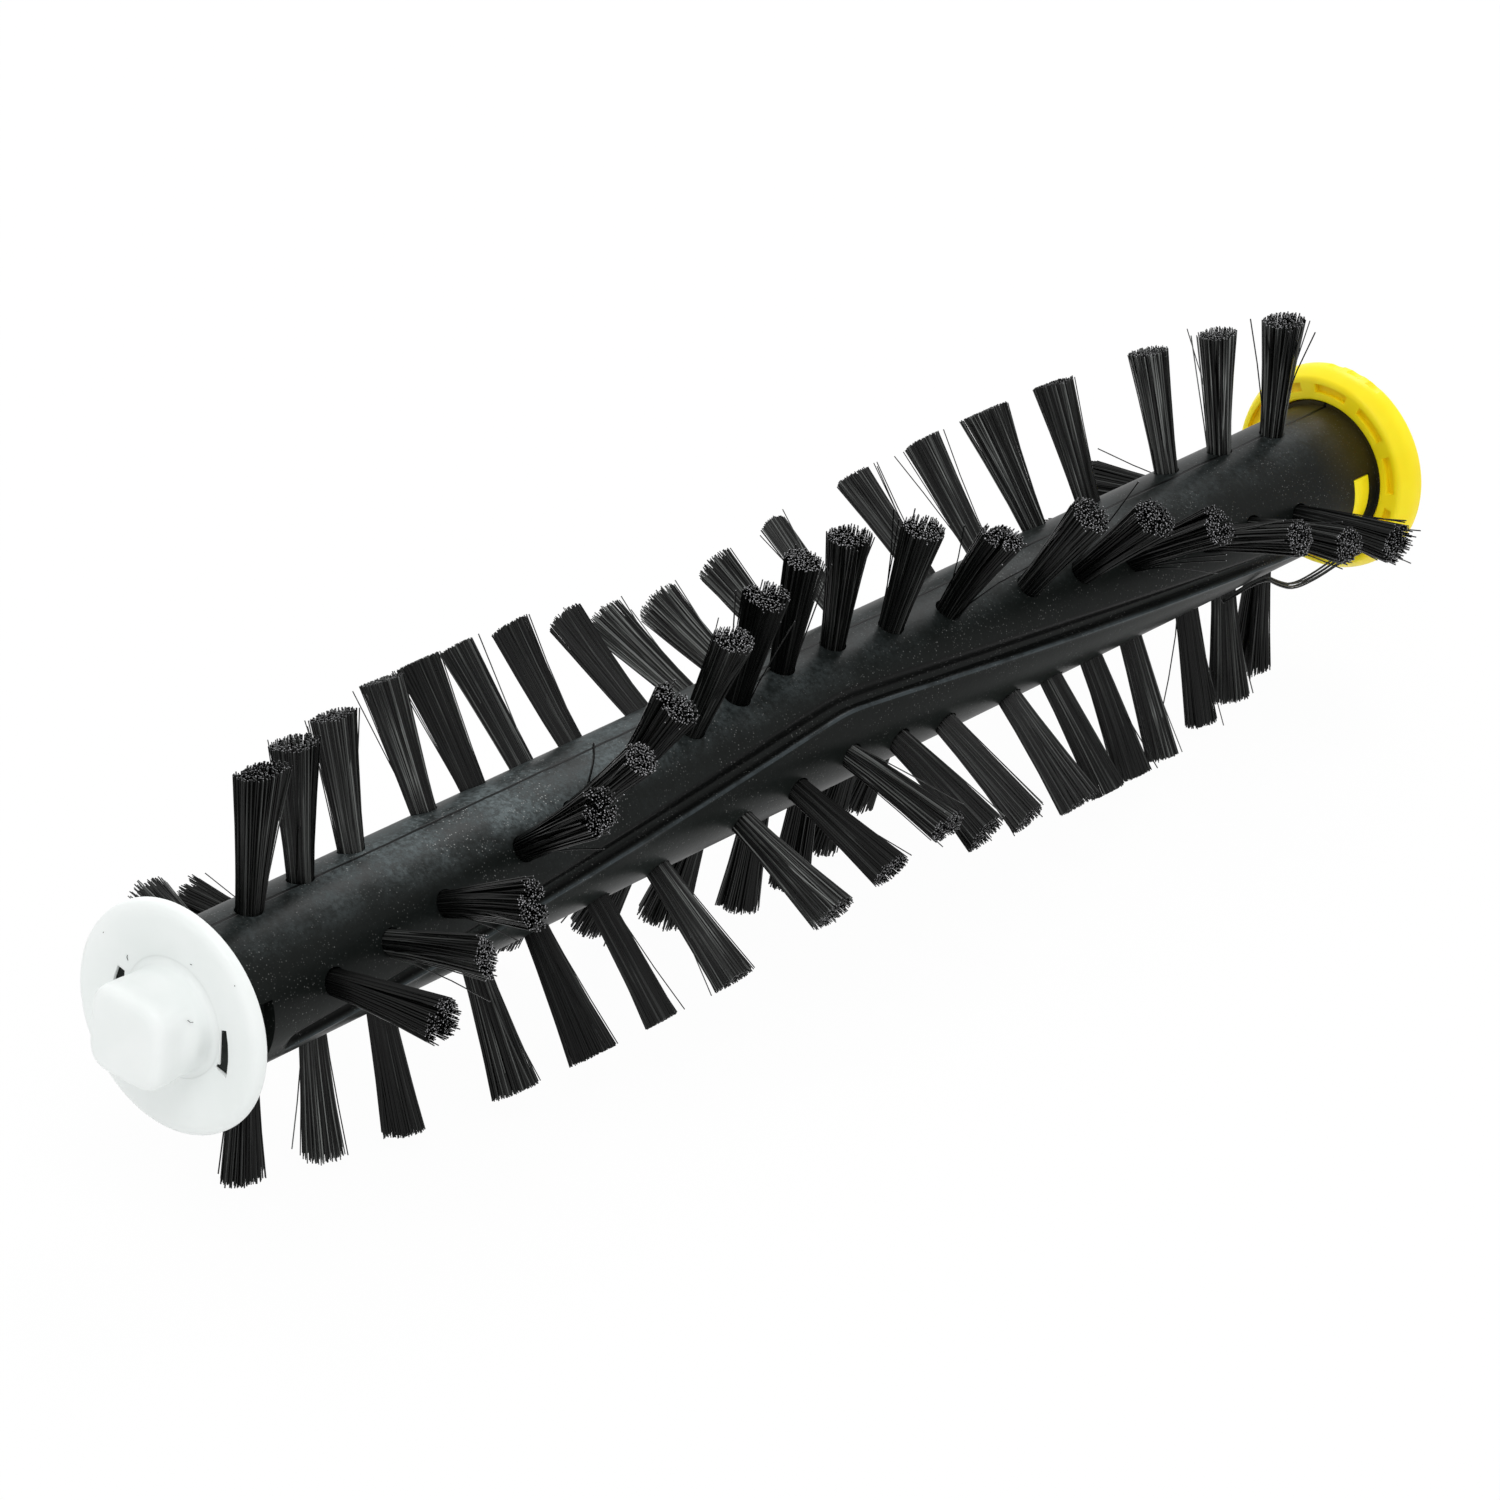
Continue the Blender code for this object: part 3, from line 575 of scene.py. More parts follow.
def spun(profile, steps, ring=False):
    """A bmesh turned about X from (x, radius) points. A ring's profile closes on itself."""
    shape = bmesh.new()
    points = [shape.verts.new((x, 0, radius)) for x, radius in profile]
    edges = [shape.edges.new(pair) for pair in zip(points, points[1:])]
    if ring:
        edges.append(shape.edges.new((points[-1], points[0])))
    bmesh.ops.spin(shape, geom=points + edges, cent=(0, 0, 0), axis=(1, 0, 0), angle=math.tau,
                   steps=steps, use_merge=True)
    bmesh.ops.remove_doubles(shape, verts=shape.verts, dist=MERGE_DISTANCE)
    bmesh.ops.recalc_face_normals(shape, faces=shape.faces)
    return shape


def block(low, high):
    """A box between two corners."""
    shape = bmesh.new()
    bmesh.ops.create_cube(shape, size=1)
    low, high = Vector(low), Vector(high)
    bmesh.ops.scale(shape, vec=high - low, verts=shape.verts)
    bmesh.ops.translate(shape, vec=(low + high) / 2, verts=shape.verts)
    return shape


def make_mesh(name, shape):
    """A new mesh from a bmesh, which is then freed."""
    mesh = bpy.data.meshes.new(name)
    shape.to_mesh(mesh)
    shape.free()
    return mesh


def make_object(name, shape):
    made = bpy.data.objects.new(name, make_mesh(name, shape))
    scene.collection.objects.link(made)
    return made


def cut(target, shapes):
    """Adds one Boolean modifier for each cutting shape, and returns the cutters."""
    cutters = []
    for index, shape in enumerate(shapes):
        cutter = make_object(f"{target.name}_cutter_{index}", shape)
        boolean = target.modifiers.new("Cut", "BOOLEAN")
        boolean.operation = "DIFFERENCE"
        boolean.object = cutter
        boolean.solver = "EXACT"
        cutters.append(cutter)
    return cutters


def round_edges(target, width, segments=2, angle=50):
    """A Bevel modifier on the sharp edges."""
    bevel = target.modifiers.new("Round", "BEVEL")
    bevel.width = width
    bevel.segments = segments
    bevel.limit_method = "ANGLE"
    bevel.angle_limit = math.radians(angle)


def settle(target, helpers=()):
    """Applies the modifiers, and removes the shapes that they used."""
    bpy.context.view_layer.update()
    evaluated = target.evaluated_get(bpy.context.evaluated_depsgraph_get())
    mesh = bpy.data.meshes.new_from_object(evaluated)
    target.modifiers.clear()
    target.data = mesh
    for helper in helpers:
        bpy.data.objects.remove(helper)
    return target


def finish_piece(piece, material, body, replaced=()):
    """Gives a piece its finish, its shading and its body, and the nodes that it stands for."""
    piece.data.materials.clear()
    piece.data.materials.append(material)
    piece.data.shade_smooth()
    piece.data.set_sharp_from_angle(angle=CREASE_ANGLE)
    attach(piece, body)
    if replaced:
        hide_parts(*replaced)
    triangles = sum(len(face.vertices) - 2 for face in piece.data.polygons)
    print(piece.name, "triangles:", triangles)
    return piece


# %% [markdown]
# ## The core
# The core is one moulding. Its two long grooves follow a chevron, so a flat grid is wrapped
# round the axis with its columns slanted to run along them: each groove is then a clean valley,
# and not a staircase. The groove's section is a formula: a gentle slope down on one side, a
# narrow floor, and a steep wall with a low rounded lip on the other, which catches the light.

# %% Core sizes
CORE_EDGE = 0.3 * MM
CORE_STATIONS = 220
CORE_COLUMNS = 160
WINDOW_WIDTH = 5.2 * MM
WINDOW_LENGTH = 2.6 * MM
DRIVE_WINDOW_START = CORE_START + 1.1 * MM
BEARING_WINDOW_START = CORE_END - 4.6 * MM
GROOVE_FADE = 1.2 * MM
LIP_PLACE = GROOVE_HALF_WIDTH + 0.12 * MM
LIP_WIDTH = 0.17 * MM
CROWDING = 0.78


def chevron(x):
    """How far round the grooves have swept at a station, from the middle of the pattern."""
    reach = math.hypot(x - PATTERN_MIDDLE, GROOVE_BEND) - GROOVE_BEND
    return GROOVE_SWEEP * reach / LONGEST_SWEEP


def smooth(t):
    """Eases from 0 to 1, and stays there."""
    t = min(max(t, 0), 1)
    return t * t * (3 - 2 * t)


def groove_height(side, x):
    """How far the surface stands off the core's radius, at a distance across a groove."""
    fade = smooth((GROOVE_REACH - abs(x - PATTERN_MIDDLE)) / GROOVE_FADE)
    slope = smooth((side + GROOVE_HALF_WIDTH) / GROOVE_SLOPE)
    wall = smooth((GROOVE_HALF_WIDTH - side) / GROOVE_WALL)
    lip = math.exp(-((side - LIP_PLACE) / LIP_WIDTH) ** 2)
    return fade * (LIP_HEIGHT * lip - GROOVE_DEPTH * slope * wall)


# %% Core shape


def column_angle(share):
    """Spreads the grid's columns so that half of them fall close to the two grooves."""
    half_turn = math.floor(share * 2)
    within = share * 2 - half_turn
    crowded = within - CROWDING * math.sin(math.tau * within) / math.tau
    return GROOVE_ANGLES[0] + math.pi * (half_turn + crowded)


def wrapped_core():
    """A flat grid wrapped into the core's skin, open at both ends."""
    shape = bmesh.new()
    bmesh.ops.create_grid(shape, x_segments=CORE_STATIONS, y_segments=CORE_COLUMNS, size=0.5)
    length = CORE_END - CORE_START - 2 * CORE_EDGE
    for vertex in shape.verts:
        x = CORE_START + CORE_EDGE + (vertex.co.x + 0.5) * length
        angle = column_angle(vertex.co.y + 0.5)
        from_groove = (angle - GROOVE_ANGLES[0] + math.pi / 2) % math.pi - math.pi / 2
        radius = CORE_RADIUS + groove_height(from_groove * CORE_RADIUS, x)
        vertex.co = place_at(x, angle + chevron(x), radius)
    bmesh.ops.remove_doubles(shape, verts=shape.verts, dist=0.01 * MM)
    return shape


def close_core_end(shape, outside, inwards):
    """Carries the open rim round the edge, across the end face and down the socket."""
    rim = [edge for edge in shape.edges if edge.is_boundary
           and abs(edge.verts[0].co.x - outside) < 2 * CORE_EDGE]
    route = (
        (outside, CORE_RADIUS - CORE_EDGE),
        (outside, SOCKET_RADIUS + 0.2 * MM),
        (outside + inwards * 0.2 * MM, SOCKET_RADIUS),
        (outside + inwards * SOCKET_DEPTH, SOCKET_RADIUS),
    )
    for x, radius in route:
        grown = bmesh.ops.extrude_edge_only(shape, edges=rim)["geom"]
        rim = [item for item in grown if isinstance(item, bmesh.types.BMEdge)]
        for vertex in {vertex for edge in rim for vertex in edge.verts}:
            out = Vector((0, vertex.co.y, vertex.co.z)).normalized()
            vertex.co = Vector((x, 0, 0)) + out * radius
    bmesh.ops.contextual_create(shape, geom=rim)


shape = wrapped_core()
close_core_end(shape, CORE_START, 1)
close_core_end(shape, CORE_END, -1)
bmesh.ops.recalc_face_normals(shape, faces=shape.faces)
core = make_object("core_body", shape)
print("Core grid faces:", len(core.data.polygons))

# %% [markdown]
# The tuft holes are cut with one Boolean: all seventy-four drills are in one cutter. Each drill
# has a slightly wider mouth, which leaves the small chamfer that shows as a ring round a tuft.
# The windows at the drive end look dark, so they stop at a thin charcoal floor over the socket,
# which stands in for the shade and the black core inside them. Those at the bearing end go right
# through, and the yellow tabs fill them.

# %% Tuft holes and windows
HOLE_RADIUS = TUFT_RADIUS + 0.05 * MM
HOLE_MOUTH = 0.18 * MM
HOLE_DEPTH = 3.0 * MM
CHAMFER_REACH = 0.25 * MM
DRILL_STEPS = 20
# A dark floor in the drive-end windows, standing in for their shade.
DRIVE_WINDOW_SHADE_FLOOR = SOCKET_RADIUS + 0.15 * MM
BEARING_WINDOW_FLOOR = SOCKET_RADIUS - 1.0 * MM
OVERRUN = 1.0 * MM


def drills():
    """Every tuft hole's cutting tool, in one shape."""
    drill = spun([
        (CORE_RADIUS - HOLE_DEPTH, 0),
        (CORE_RADIUS - HOLE_DEPTH, HOLE_RADIUS),
        (CORE_RADIUS - CHAMFER_REACH, HOLE_RADIUS),
        (CORE_RADIUS + CHAMFER_REACH, HOLE_RADIUS + HOLE_MOUTH),
        (CORE_RADIUS + CHAMFER_REACH, 0),
    ], DRILL_STEPS)
    stand_up = Matrix.Rotation(-math.pi / 2, 4, "Y")
    master = make_mesh("drill", drill)
    together = bmesh.new()
    for _, station, angle in tuft_places():
        first = len(together.verts)
        together.from_mesh(master)
        together.verts.ensure_lookup_table()
        turn = Matrix.Translation((station, 0, 0)) @ Matrix.Rotation(angle, 4, "X") @ stand_up
        bmesh.ops.transform(together, matrix=turn, verts=together.verts[first:])
    bpy.data.meshes.remove(master)
    return together


def window_cutters(start, floor_radius):
    """Tools for a pair of windows, one on each side of the core."""
    for side in (1, -1):
        near, far = sorted((side * floor_radius, side * (CORE_RADIUS + OVERRUN)))
        yield block((start, near, -WINDOW_WIDTH / 2),
                    (start + WINDOW_LENGTH, far, WINDOW_WIDTH / 2))


windows = [*window_cutters(DRIVE_WINDOW_START, DRIVE_WINDOW_SHADE_FLOOR),
           *window_cutters(BEARING_WINDOW_START, BEARING_WINDOW_FLOOR)]
cutters = cut(core, [drills(), *windows])
settle(core, cutters)
finish_piece(core, charcoal, "roller", ["roller_core"])

# %% [markdown]
# ## The white drive cap
# The boss takes the cleaner's square drive, by four flats on its front. The flange is slightly
# dished and its rim is round. Two slots through it let the snap tabs be moulded. Cutting the
# flats off a round boss would leave hard edges, so the cap is spun first, and then the rings at
# the front of its boss are drawn in to a rounded square.

# %% White cap sizes
BOSS_RADIUS = 4.75 * MM
BOSS_FLAT = 4.1 * MM
BOSS_SQUARENESS = 4
BOSS_SQUARE_END = 2.2 * MM
BOSS_ROUND_START = 4.4 * MM
FLANGE_FRONT = 5.1 * MM
FLANGE_BACK = FLANGE_FRONT + 2.0 * MM
DISH_DEPTH = 0.9 * MM
SPIGOT_RADIUS = SOCKET_RADIUS - 0.3 * MM
SPIGOT_BORE = SPIGOT_RADIUS - 1.2 * MM
BORE_FLOOR = 4.6 * MM
RIM_BACK_RADIUS = 9.4 * MM
CAP_STEPS = 128

# A slot's outline in mm, as (Y, Z) on the camera's side: straight inside, curved outside, with
# a foot. The slot on the other side is its mirror image, a little higher.
SLOT_OUTLINE = ((-5.6, 1.3), (-6.3, 1.6), (-6.65, 0.3), (-6.85, -1.1), (-6.85, -2.7),
                (-5.3, -2.4), (-5.45, -2.0), (-5.75, -1.95))
FAR_SLOT_LIFT = 0.7 * MM

# %% White cap shape
boss_rings = [(BOSS_SQUARE_END + 0.2 * MM * step, BOSS_RADIUS) for step in range(12)]
profile = softened([
    (0, 0),
    (0, 2.0 * MM),
    (0, BOSS_RADIUS, 1.1 * MM),
    *boss_rings,
    (FLANGE_FRONT + DISH_DEPTH, BOSS_RADIUS, 0.7 * MM),
    (FLANGE_FRONT + 0.8 * DISH_DEPTH, 6.1 * MM, 0.7 * MM),
    (FLANGE_FRONT + 0.25 * DISH_DEPTH, 8.2 * MM, 0.9 * MM),
    (FLANGE_FRONT, FLANGE_RADIUS, 1.1 * MM),
    (FLANGE_FRONT + 1.3 * MM, FLANGE_RADIUS, 0.2 * MM),
    (FLANGE_BACK, RIM_BACK_RADIUS, 0.3 * MM),
    (FLANGE_BACK, SPIGOT_RADIUS, 0.2 * MM),
    (drive_high.x, SPIGOT_RADIUS, 0.3 * MM),
    (drive_high.x, SPIGOT_BORE),
    (BORE_FLOOR, SPIGOT_BORE),
    (BORE_FLOOR, 0),
])


def square_off(shape):
    """Draws the boss's front in to a rounded square, which fades out along the boss."""
    for vertex in shape.verts:
        radius = math.hypot(vertex.co.y, vertex.co.z)
        if vertex.co.x < BOSS_ROUND_START and 0 < radius < BOSS_RADIUS + 0.01 * MM:
            corner = (abs(vertex.co.y / radius) ** BOSS_SQUARENESS
                      + abs(vertex.co.z / radius) ** BOSS_SQUARENESS) ** (1 / BOSS_SQUARENESS)
            fade_length = BOSS_ROUND_START - BOSS_SQUARE_END
            share = smooth((BOSS_ROUND_START - vertex.co.x) / fade_length)
            vertex.co.yz *= 1 + share * (BOSS_FLAT / corner / BOSS_RADIUS - 1)


def slot_prism(side, low, high, shrink=1.0):
    """The outline of one slot as a solid bar from low to high along X."""
    bar = bmesh.new()
    lift = FAR_SLOT_LIFT if side < 0 else 0
    outline = [bar.verts.new((low, side * y * MM, z * MM + lift)) for y, z in SLOT_OUTLINE]
    centre = sum((vertex.co for vertex in outline), Vector()) / len(outline)
    grown = bmesh.ops.extrude_face_region(bar, geom=[bar.faces.new(outline)])["geom"]
    far_side = [item for item in grown if isinstance(item, bmesh.types.BMVert)]
    bmesh.ops.translate(bar, vec=(high - low, 0, 0), verts=far_side)
    to_centre = Matrix.Translation(-centre)
    bmesh.ops.scale(bar, vec=(1, shrink, shrink), space=to_centre, verts=bar.verts)
    bmesh.ops.recalc_face_normals(bar, faces=bar.faces)
    return bar


shape = spun(profile, CAP_STEPS)
square_off(shape)
white_cap = make_object("white_cap", shape)
tools = [slot_prism(side, FLANGE_FRONT - OVERRUN, FLANGE_BACK + OVERRUN) for side in (1, -1)]
cutters = cut(white_cap, tools)
round_edges(white_cap, 0.12 * MM)
settle(white_cap, cutters)
finish_piece(white_cap, white, "roller", ["drive_end_cap"])

# %% [markdown]
# The slots look black: the black core lies behind them, and they are deep in shade. Two
# charcoal blocks, each the slot's own outline a little smaller, fill them to just below the face,
# as painted shade.

# %% Dark blocks in the slots, as painted shade
SHADE_BLOCK_FRONT = FLANGE_FRONT + 0.8 * DISH_DEPTH + 0.15 * MM
SHADE_BLOCK_BACK = CORE_START + 0.1 * MM
SHADE_BLOCK_FIT = 0.96

# Dark blocks that stand in for the shade and the black core in the slots.
for number, side in enumerate((1, -1), start=1):
    shade_block = make_object(f"core_key_{number}", slot_prism(side, SHADE_BLOCK_FRONT, SHADE_BLOCK_BACK, SHADE_BLOCK_FIT))
    finish_piece(shade_block, charcoal, "roller")

# %% [markdown]
# ## The yellow bearing cap
# The ring's face has ten shallow pockets between thin ribs, which keep its wall even so that it
# doesn't sink as it cools. Its side flares towards the back, where three notches mark the rim.

# %% Yellow cap sizes
RING_THICKNESS = 4.0 * MM
RING_FACE_RADIUS = 9.7 * MM
RING_CONE_LENGTH = 1.6 * MM
RING_BACK = RING_FACE + RING_THICKNESS
RING_BACK_RADIUS = 8.6 * MM
BACK_FLOOR = RING_BACK - 1.3 * MM
HUB_END = RING_BACK - 0.7 * MM
HUB_RADIUS = 3.6 * MM
POST_RADIUS = 3.0 * MM
PIN_HOLE = 1.8 * MM
POCKET_COUNT = 10
POCKET_SWEEP = math.radians(25)
POCKET_DEPTH = 0.6 * MM
ARC_STEPS = 10
NOTCH_ANGLES = (math.radians(-7), math.radians(6), math.radians(19))
NOTCH_TOOL_RADIUS = 1.2 * MM
NOTCH_TOOL_LENGTH = 3.2 * MM
NOTCH_DEPTH = 0.35 * MM

# %% Yellow cap shape
profile = softened([
    (HUB_END, PIN_HOLE),
    (HUB_END, HUB_RADIUS, 0.2 * MM),
    (BACK_FLOOR, HUB_RADIUS, 0.3 * MM),
    (BACK_FLOOR, RING_BACK_RADIUS, 0.3 * MM),
    (RING_BACK, RING_BACK_RADIUS, 0.2 * MM),
    (RING_BACK, RIM_BACK_RADIUS, 0.3 * MM),
    (RING_BACK - 1.1 * MM, FLANGE_RADIUS, 0.3 * MM),
    (RING_FACE + RING_CONE_LENGTH, FLANGE_RADIUS, 0.6 * MM),
    (RING_FACE, RING_FACE_RADIUS, 0.45 * MM),
    (RING_FACE, RECESS_RADIUS, 0.25 * MM),
    (RING_FLOOR, RECESS_RADIUS),
    (RING_FLOOR, SPIGOT_RADIUS),
    (ring_low.x, SPIGOT_RADIUS, 0.2 * MM),
    (ring_low.x, SPIGOT_BORE),
    (RING_FLOOR, SPIGOT_BORE),
    (RING_FLOOR, POST_RADIUS),
    (ring_low.x, POST_RADIUS),
    (ring_low.x, PIN_HOLE),
])
yellow_cap = make_object("yellow_cap", spun(profile, CAP_STEPS, ring=True))


def arc_block(start, length, inner, outer, middle, sweep):
    """A block that follows the axis round: a rectangle spun through part of a turn."""
    shape = bmesh.new()
    corners = ((start, inner), (start + length, inner), (start + length, outer), (start, outer))
    points = [shape.verts.new((x, 0, radius)) for x, radius in corners]
    section = shape.faces.new(points)
    start_turn = Matrix.Rotation(middle - sweep / 2, 3, "X")
    bmesh.ops.rotate(shape, cent=(0, 0, 0), verts=points, matrix=start_turn)
    bmesh.ops.spin(shape, geom=[section, *section.edges, *section.verts], cent=(0, 0, 0),
                   axis=(1, 0, 0), angle=sweep, steps=ARC_STEPS)
    bmesh.ops.recalc_face_normals(shape, faces=shape.faces)
    return shape


def notch(angle):
    """A round tool along X, whose side bites into the rim."""
    shape = bmesh.new()
    bmesh.ops.create_cone(shape, cap_ends=True, segments=32, radius1=NOTCH_TOOL_RADIUS,
                          radius2=NOTCH_TOOL_RADIUS, depth=NOTCH_TOOL_LENGTH)
    lie_along_x = Matrix.Rotation(math.pi / 2, 3, "Y")
    bmesh.ops.rotate(shape, cent=(0, 0, 0), matrix=lie_along_x, verts=shape.verts)
    reach = FLANGE_RADIUS - NOTCH_DEPTH + NOTCH_TOOL_RADIUS
    middle = place_at(RING_BACK - 0.5 * MM, angle, reach)
    bmesh.ops.translate(shape, vec=middle, verts=shape.verts)
    return shape


tools = [arc_block(RING_FACE - OVERRUN, POCKET_DEPTH + OVERRUN, *POCKET_RADII,
                   math.tau * index / POCKET_COUNT, POCKET_SWEEP) for index in range(POCKET_COUNT)]
tools += [notch(angle) for angle in NOTCH_ANGLES]
cutters = cut(yellow_cap, tools)
round_edges(yellow_cap, 0.28 * MM, segments=3)
settle(yellow_cap, cutters)
finish_piece(yellow_cap, yellow, "roller", ["bearing_end_cap"])

# %% [markdown]
# The yellow snap tabs fill the core's windows and lie flush with it, so their tops follow the
# same radius. They are part of the cap, but the window is all that shows of them, so the pair is
# a small piece of its own. The dark line inside the ring is the core's own end: a collar that
# fills the ring's recess.

# %% Snap tabs
TAB_GAP = 0.10 * MM
TAB_RADII = (SPIGOT_RADIUS - 0.6 * MM, CORE_RADIUS - 0.06 * MM)
TAB_SWEEP = 2 * math.asin((WINDOW_WIDTH / 2 - TAB_GAP) / CORE_RADIUS)

pair = bmesh.new()
for middle in (math.pi / 2, -math.pi / 2):
    tab = arc_block(BEARING_WINDOW_START + TAB_GAP, WINDOW_LENGTH - 2 * TAB_GAP, *TAB_RADII,
                    middle, TAB_SWEEP)
    mesh = make_mesh("tab", tab)
    pair.from_mesh(mesh)
    bpy.data.meshes.remove(mesh)
tabs = make_object("yellow_snap_tabs", pair)
round_edges(tabs, 0.08 * MM)
finish_piece(settle(tabs), yellow, "roller")

# %% Core end collar
COLLAR_START = CORE_END - 1.0 * MM
COLLAR_RADII = (CORE_RADIUS - 0.1 * MM, RECESS_RADIUS - 0.08 * MM)

profile = softened([
    (COLLAR_START, COLLAR_RADII[0]), (COLLAR_START, COLLAR_RADII[1], 0.15 * MM),
    (CORE_END, COLLAR_RADII[1], 0.1 * MM), (CORE_END, COLLAR_RADII[0]),
])
end_collar = make_object("core_end_collar", spun(profile, CAP_STEPS, ring=True))
finish_piece(end_collar, charcoal, "roller")

# %% [markdown]
# ## The bearing
# A steel pin carries a washer, a bronze bush in a square holder, and a push-on clip. The holder
# and its bush stay still in the cleaner while all the rest turns. All but the holder are turned
# parts, so they are spun from short profiles, as long and as thick as their nodes.

# %% Pin, washer and bush
SMALL_STEPS = 64
EDGE = 0.12 * MM


def collar(name, low, high, radius, material, body):
    """A plain ring round the pin with softened edges, between two corners of its node."""
    profile = softened([
        (low.x, PIN_HOLE, EDGE), (low.x, radius, EDGE), (high.x, radius, EDGE),
        (high.x, PIN_HOLE, EDGE),
    ])
    return finish_piece(make_object(name, spun(profile, SMALL_STEPS, ring=True)), material, body)


profile = softened([
    (pin_low.x, 0), (pin_low.x, pin_high.z, 0.25 * MM), (pin_high.x, pin_high.z, 0.3 * MM),
    (pin_high.x, 0),
])
pin = make_object("turned_pin", spun(profile, SMALL_STEPS))
finish_piece(pin, steel, "roller", ["axle_pin"])
washer = collar("flat_washer", washer_low, washer_high, washer_high.z, steel, "roller")
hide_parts("thrust_washer")
bush = collar("bronze_bush", bush_low, bush_high, bush_high.z, bronze, "bearing")
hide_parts("bearing_bush")

# %% Square holder
HOLDER_ROUND = 0.7 * MM
HOLDER_BORE = bush_high.z + 0.3 * MM

shape = block(holder_low, holder_high)
bmesh.ops.bevel(shape, geom=shape.edges[:], offset=HOLDER_ROUND, segments=5, affect="EDGES",
                profile=0.5, material=-1)
holder = make_object("square_holder", shape)
bore = [(holder_low.x - OVERRUN, 0), (holder_low.x - OVERRUN, HOLDER_BORE),
        (holder_high.x + OVERRUN, HOLDER_BORE), (holder_high.x + OVERRUN, 0)]
cutters = cut(holder, [spun(bore, SMALL_STEPS)])
round_edges(holder, EDGE, angle=60)
settle(holder, cutters)
finish_piece(holder, black, "bearing", ["bearing_holder"])

# %% Push-on clip
CLIP_HALF_MOUTH = 0.9 * MM
CLIP_TOOL_TOP = 5 * MM

clip = collar("push_on_clip", clip_low, clip_high, -clip_low.z, steel, "roller")
mouth = block((clip_low.x - OVERRUN, -CLIP_HALF_MOUTH, 0),
              (clip_high.x + OVERRUN, CLIP_HALF_MOUTH, CLIP_TOOL_TOP))
settle(clip, cut(clip, [mouth]))
finish_piece(clip, steel, "roller", ["retaining_clip"])

# %% [markdown]
# ## The tufts
# A tuft is over two hundred nylon filaments, folded in half and punched into its hole. They
# leave the core side by side and spread towards the tips, which were trimmed to one radius. Each
# filament is a route of four points, and a thin curve is run along all the routes of a tuft and
# made into one mesh. The filaments split into a few clumps, and now and then one strays.

# %% Filament sizes
STRAND_COUNT = 260
STRAND_RADIUS = 0.068 * MM
STRAND_POINTS = 4
STRAND_SIDES = 4
ROOT_REACH = CORE_RADIUS - 1.6 * MM
ROOT_SPREAD = TUFT_RADIUS - STRAND_RADIUS
TIP_SPREAD = 1.85 * MM - STRAND_RADIUS
GOLDEN_ANGLE = math.radians(137.508)
FLARE_POWER = 1.35
STRAY_SHARE = 0.03
STRAY_BOW = 3
CLUMP_COUNTS = (1, 2, 2, 3, 3)
SQUEEZE_ALONG = (0.85, 1.4)
SQUEEZE_ROUND = (0.85, 1.2)

# How far chance moves a clump, a tip, a bow, a stray's tip and the trimmed length, in mm.
CLUMP_SCATTER = 0.28
TIP_SCATTER = 0.09
BOW_SCATTER = 0.03
STRAY_SCATTER = 0.9
TRIM_SCATTER = 0.10


def scattered(chance, spread):
    """A small chance step across a tuft, whose spread is in mm."""
    return Vector((chance.gauss(0, spread), chance.gauss(0, spread))) * MM


def strand_route(root, tip, bow):
    """Points of one filament in the tuft's own frame: along X, round the roller and outwards."""
    points = []
    for index in range(STRAND_POINTS):
        t = index / (STRAND_POINTS - 1)
        place = root.lerp(tip, t)
        place.xy = root.xy.lerp(tip.xy, t ** FLARE_POWER) + bow * math.sin(math.pi * t)
        points.append(place)
    return points


def tuft_strands(chance, lean):
    """Routes of all the filaments of one tuft."""
    clump_count = chance.choice(CLUMP_COUNTS)
    clump_turn = chance.uniform(0, math.tau)
    shifts = [scattered(chance, CLUMP_SCATTER) for _ in range(clump_count)]
    squeeze = Vector((chance.uniform(*SQUEEZE_ALONG), chance.uniform(*SQUEEZE_ROUND)))
    for index in range(STRAND_COUNT):
        share = math.sqrt((index + 0.5) / STRAND_COUNT)
        turn = index * GOLDEN_ANGLE
        way = Vector((math.cos(turn), math.sin(turn)))
        clump = int(((turn + clump_turn) % math.tau) / math.tau * clump_count)
        root = way * ROOT_SPREAD * share
        tip = way * squeeze * TIP_SPREAD * share + lean
        tip += shifts[clump] * share + scattered(chance, TIP_SCATTER)
        bow = scattered(chance, BOW_SCATTER)
        if chance.random() < STRAY_SHARE:
            tip += scattered(chance, STRAY_SCATTER)
            bow *= STRAY_BOW
        # The tips were trimmed to one radius, so a tip to the side of the tuft's middle is shorter.
        reach = TIP_REACH - abs(chance.gauss(0, TRIM_SCATTER)) * MM - tip.y ** 2 / (2 * TIP_REACH)
        yield strand_route(Vector((*root, ROOT_REACH)), Vector((*tip, reach)), bow)


# %% Tuft builder
CUT_END_FACING = 0.7


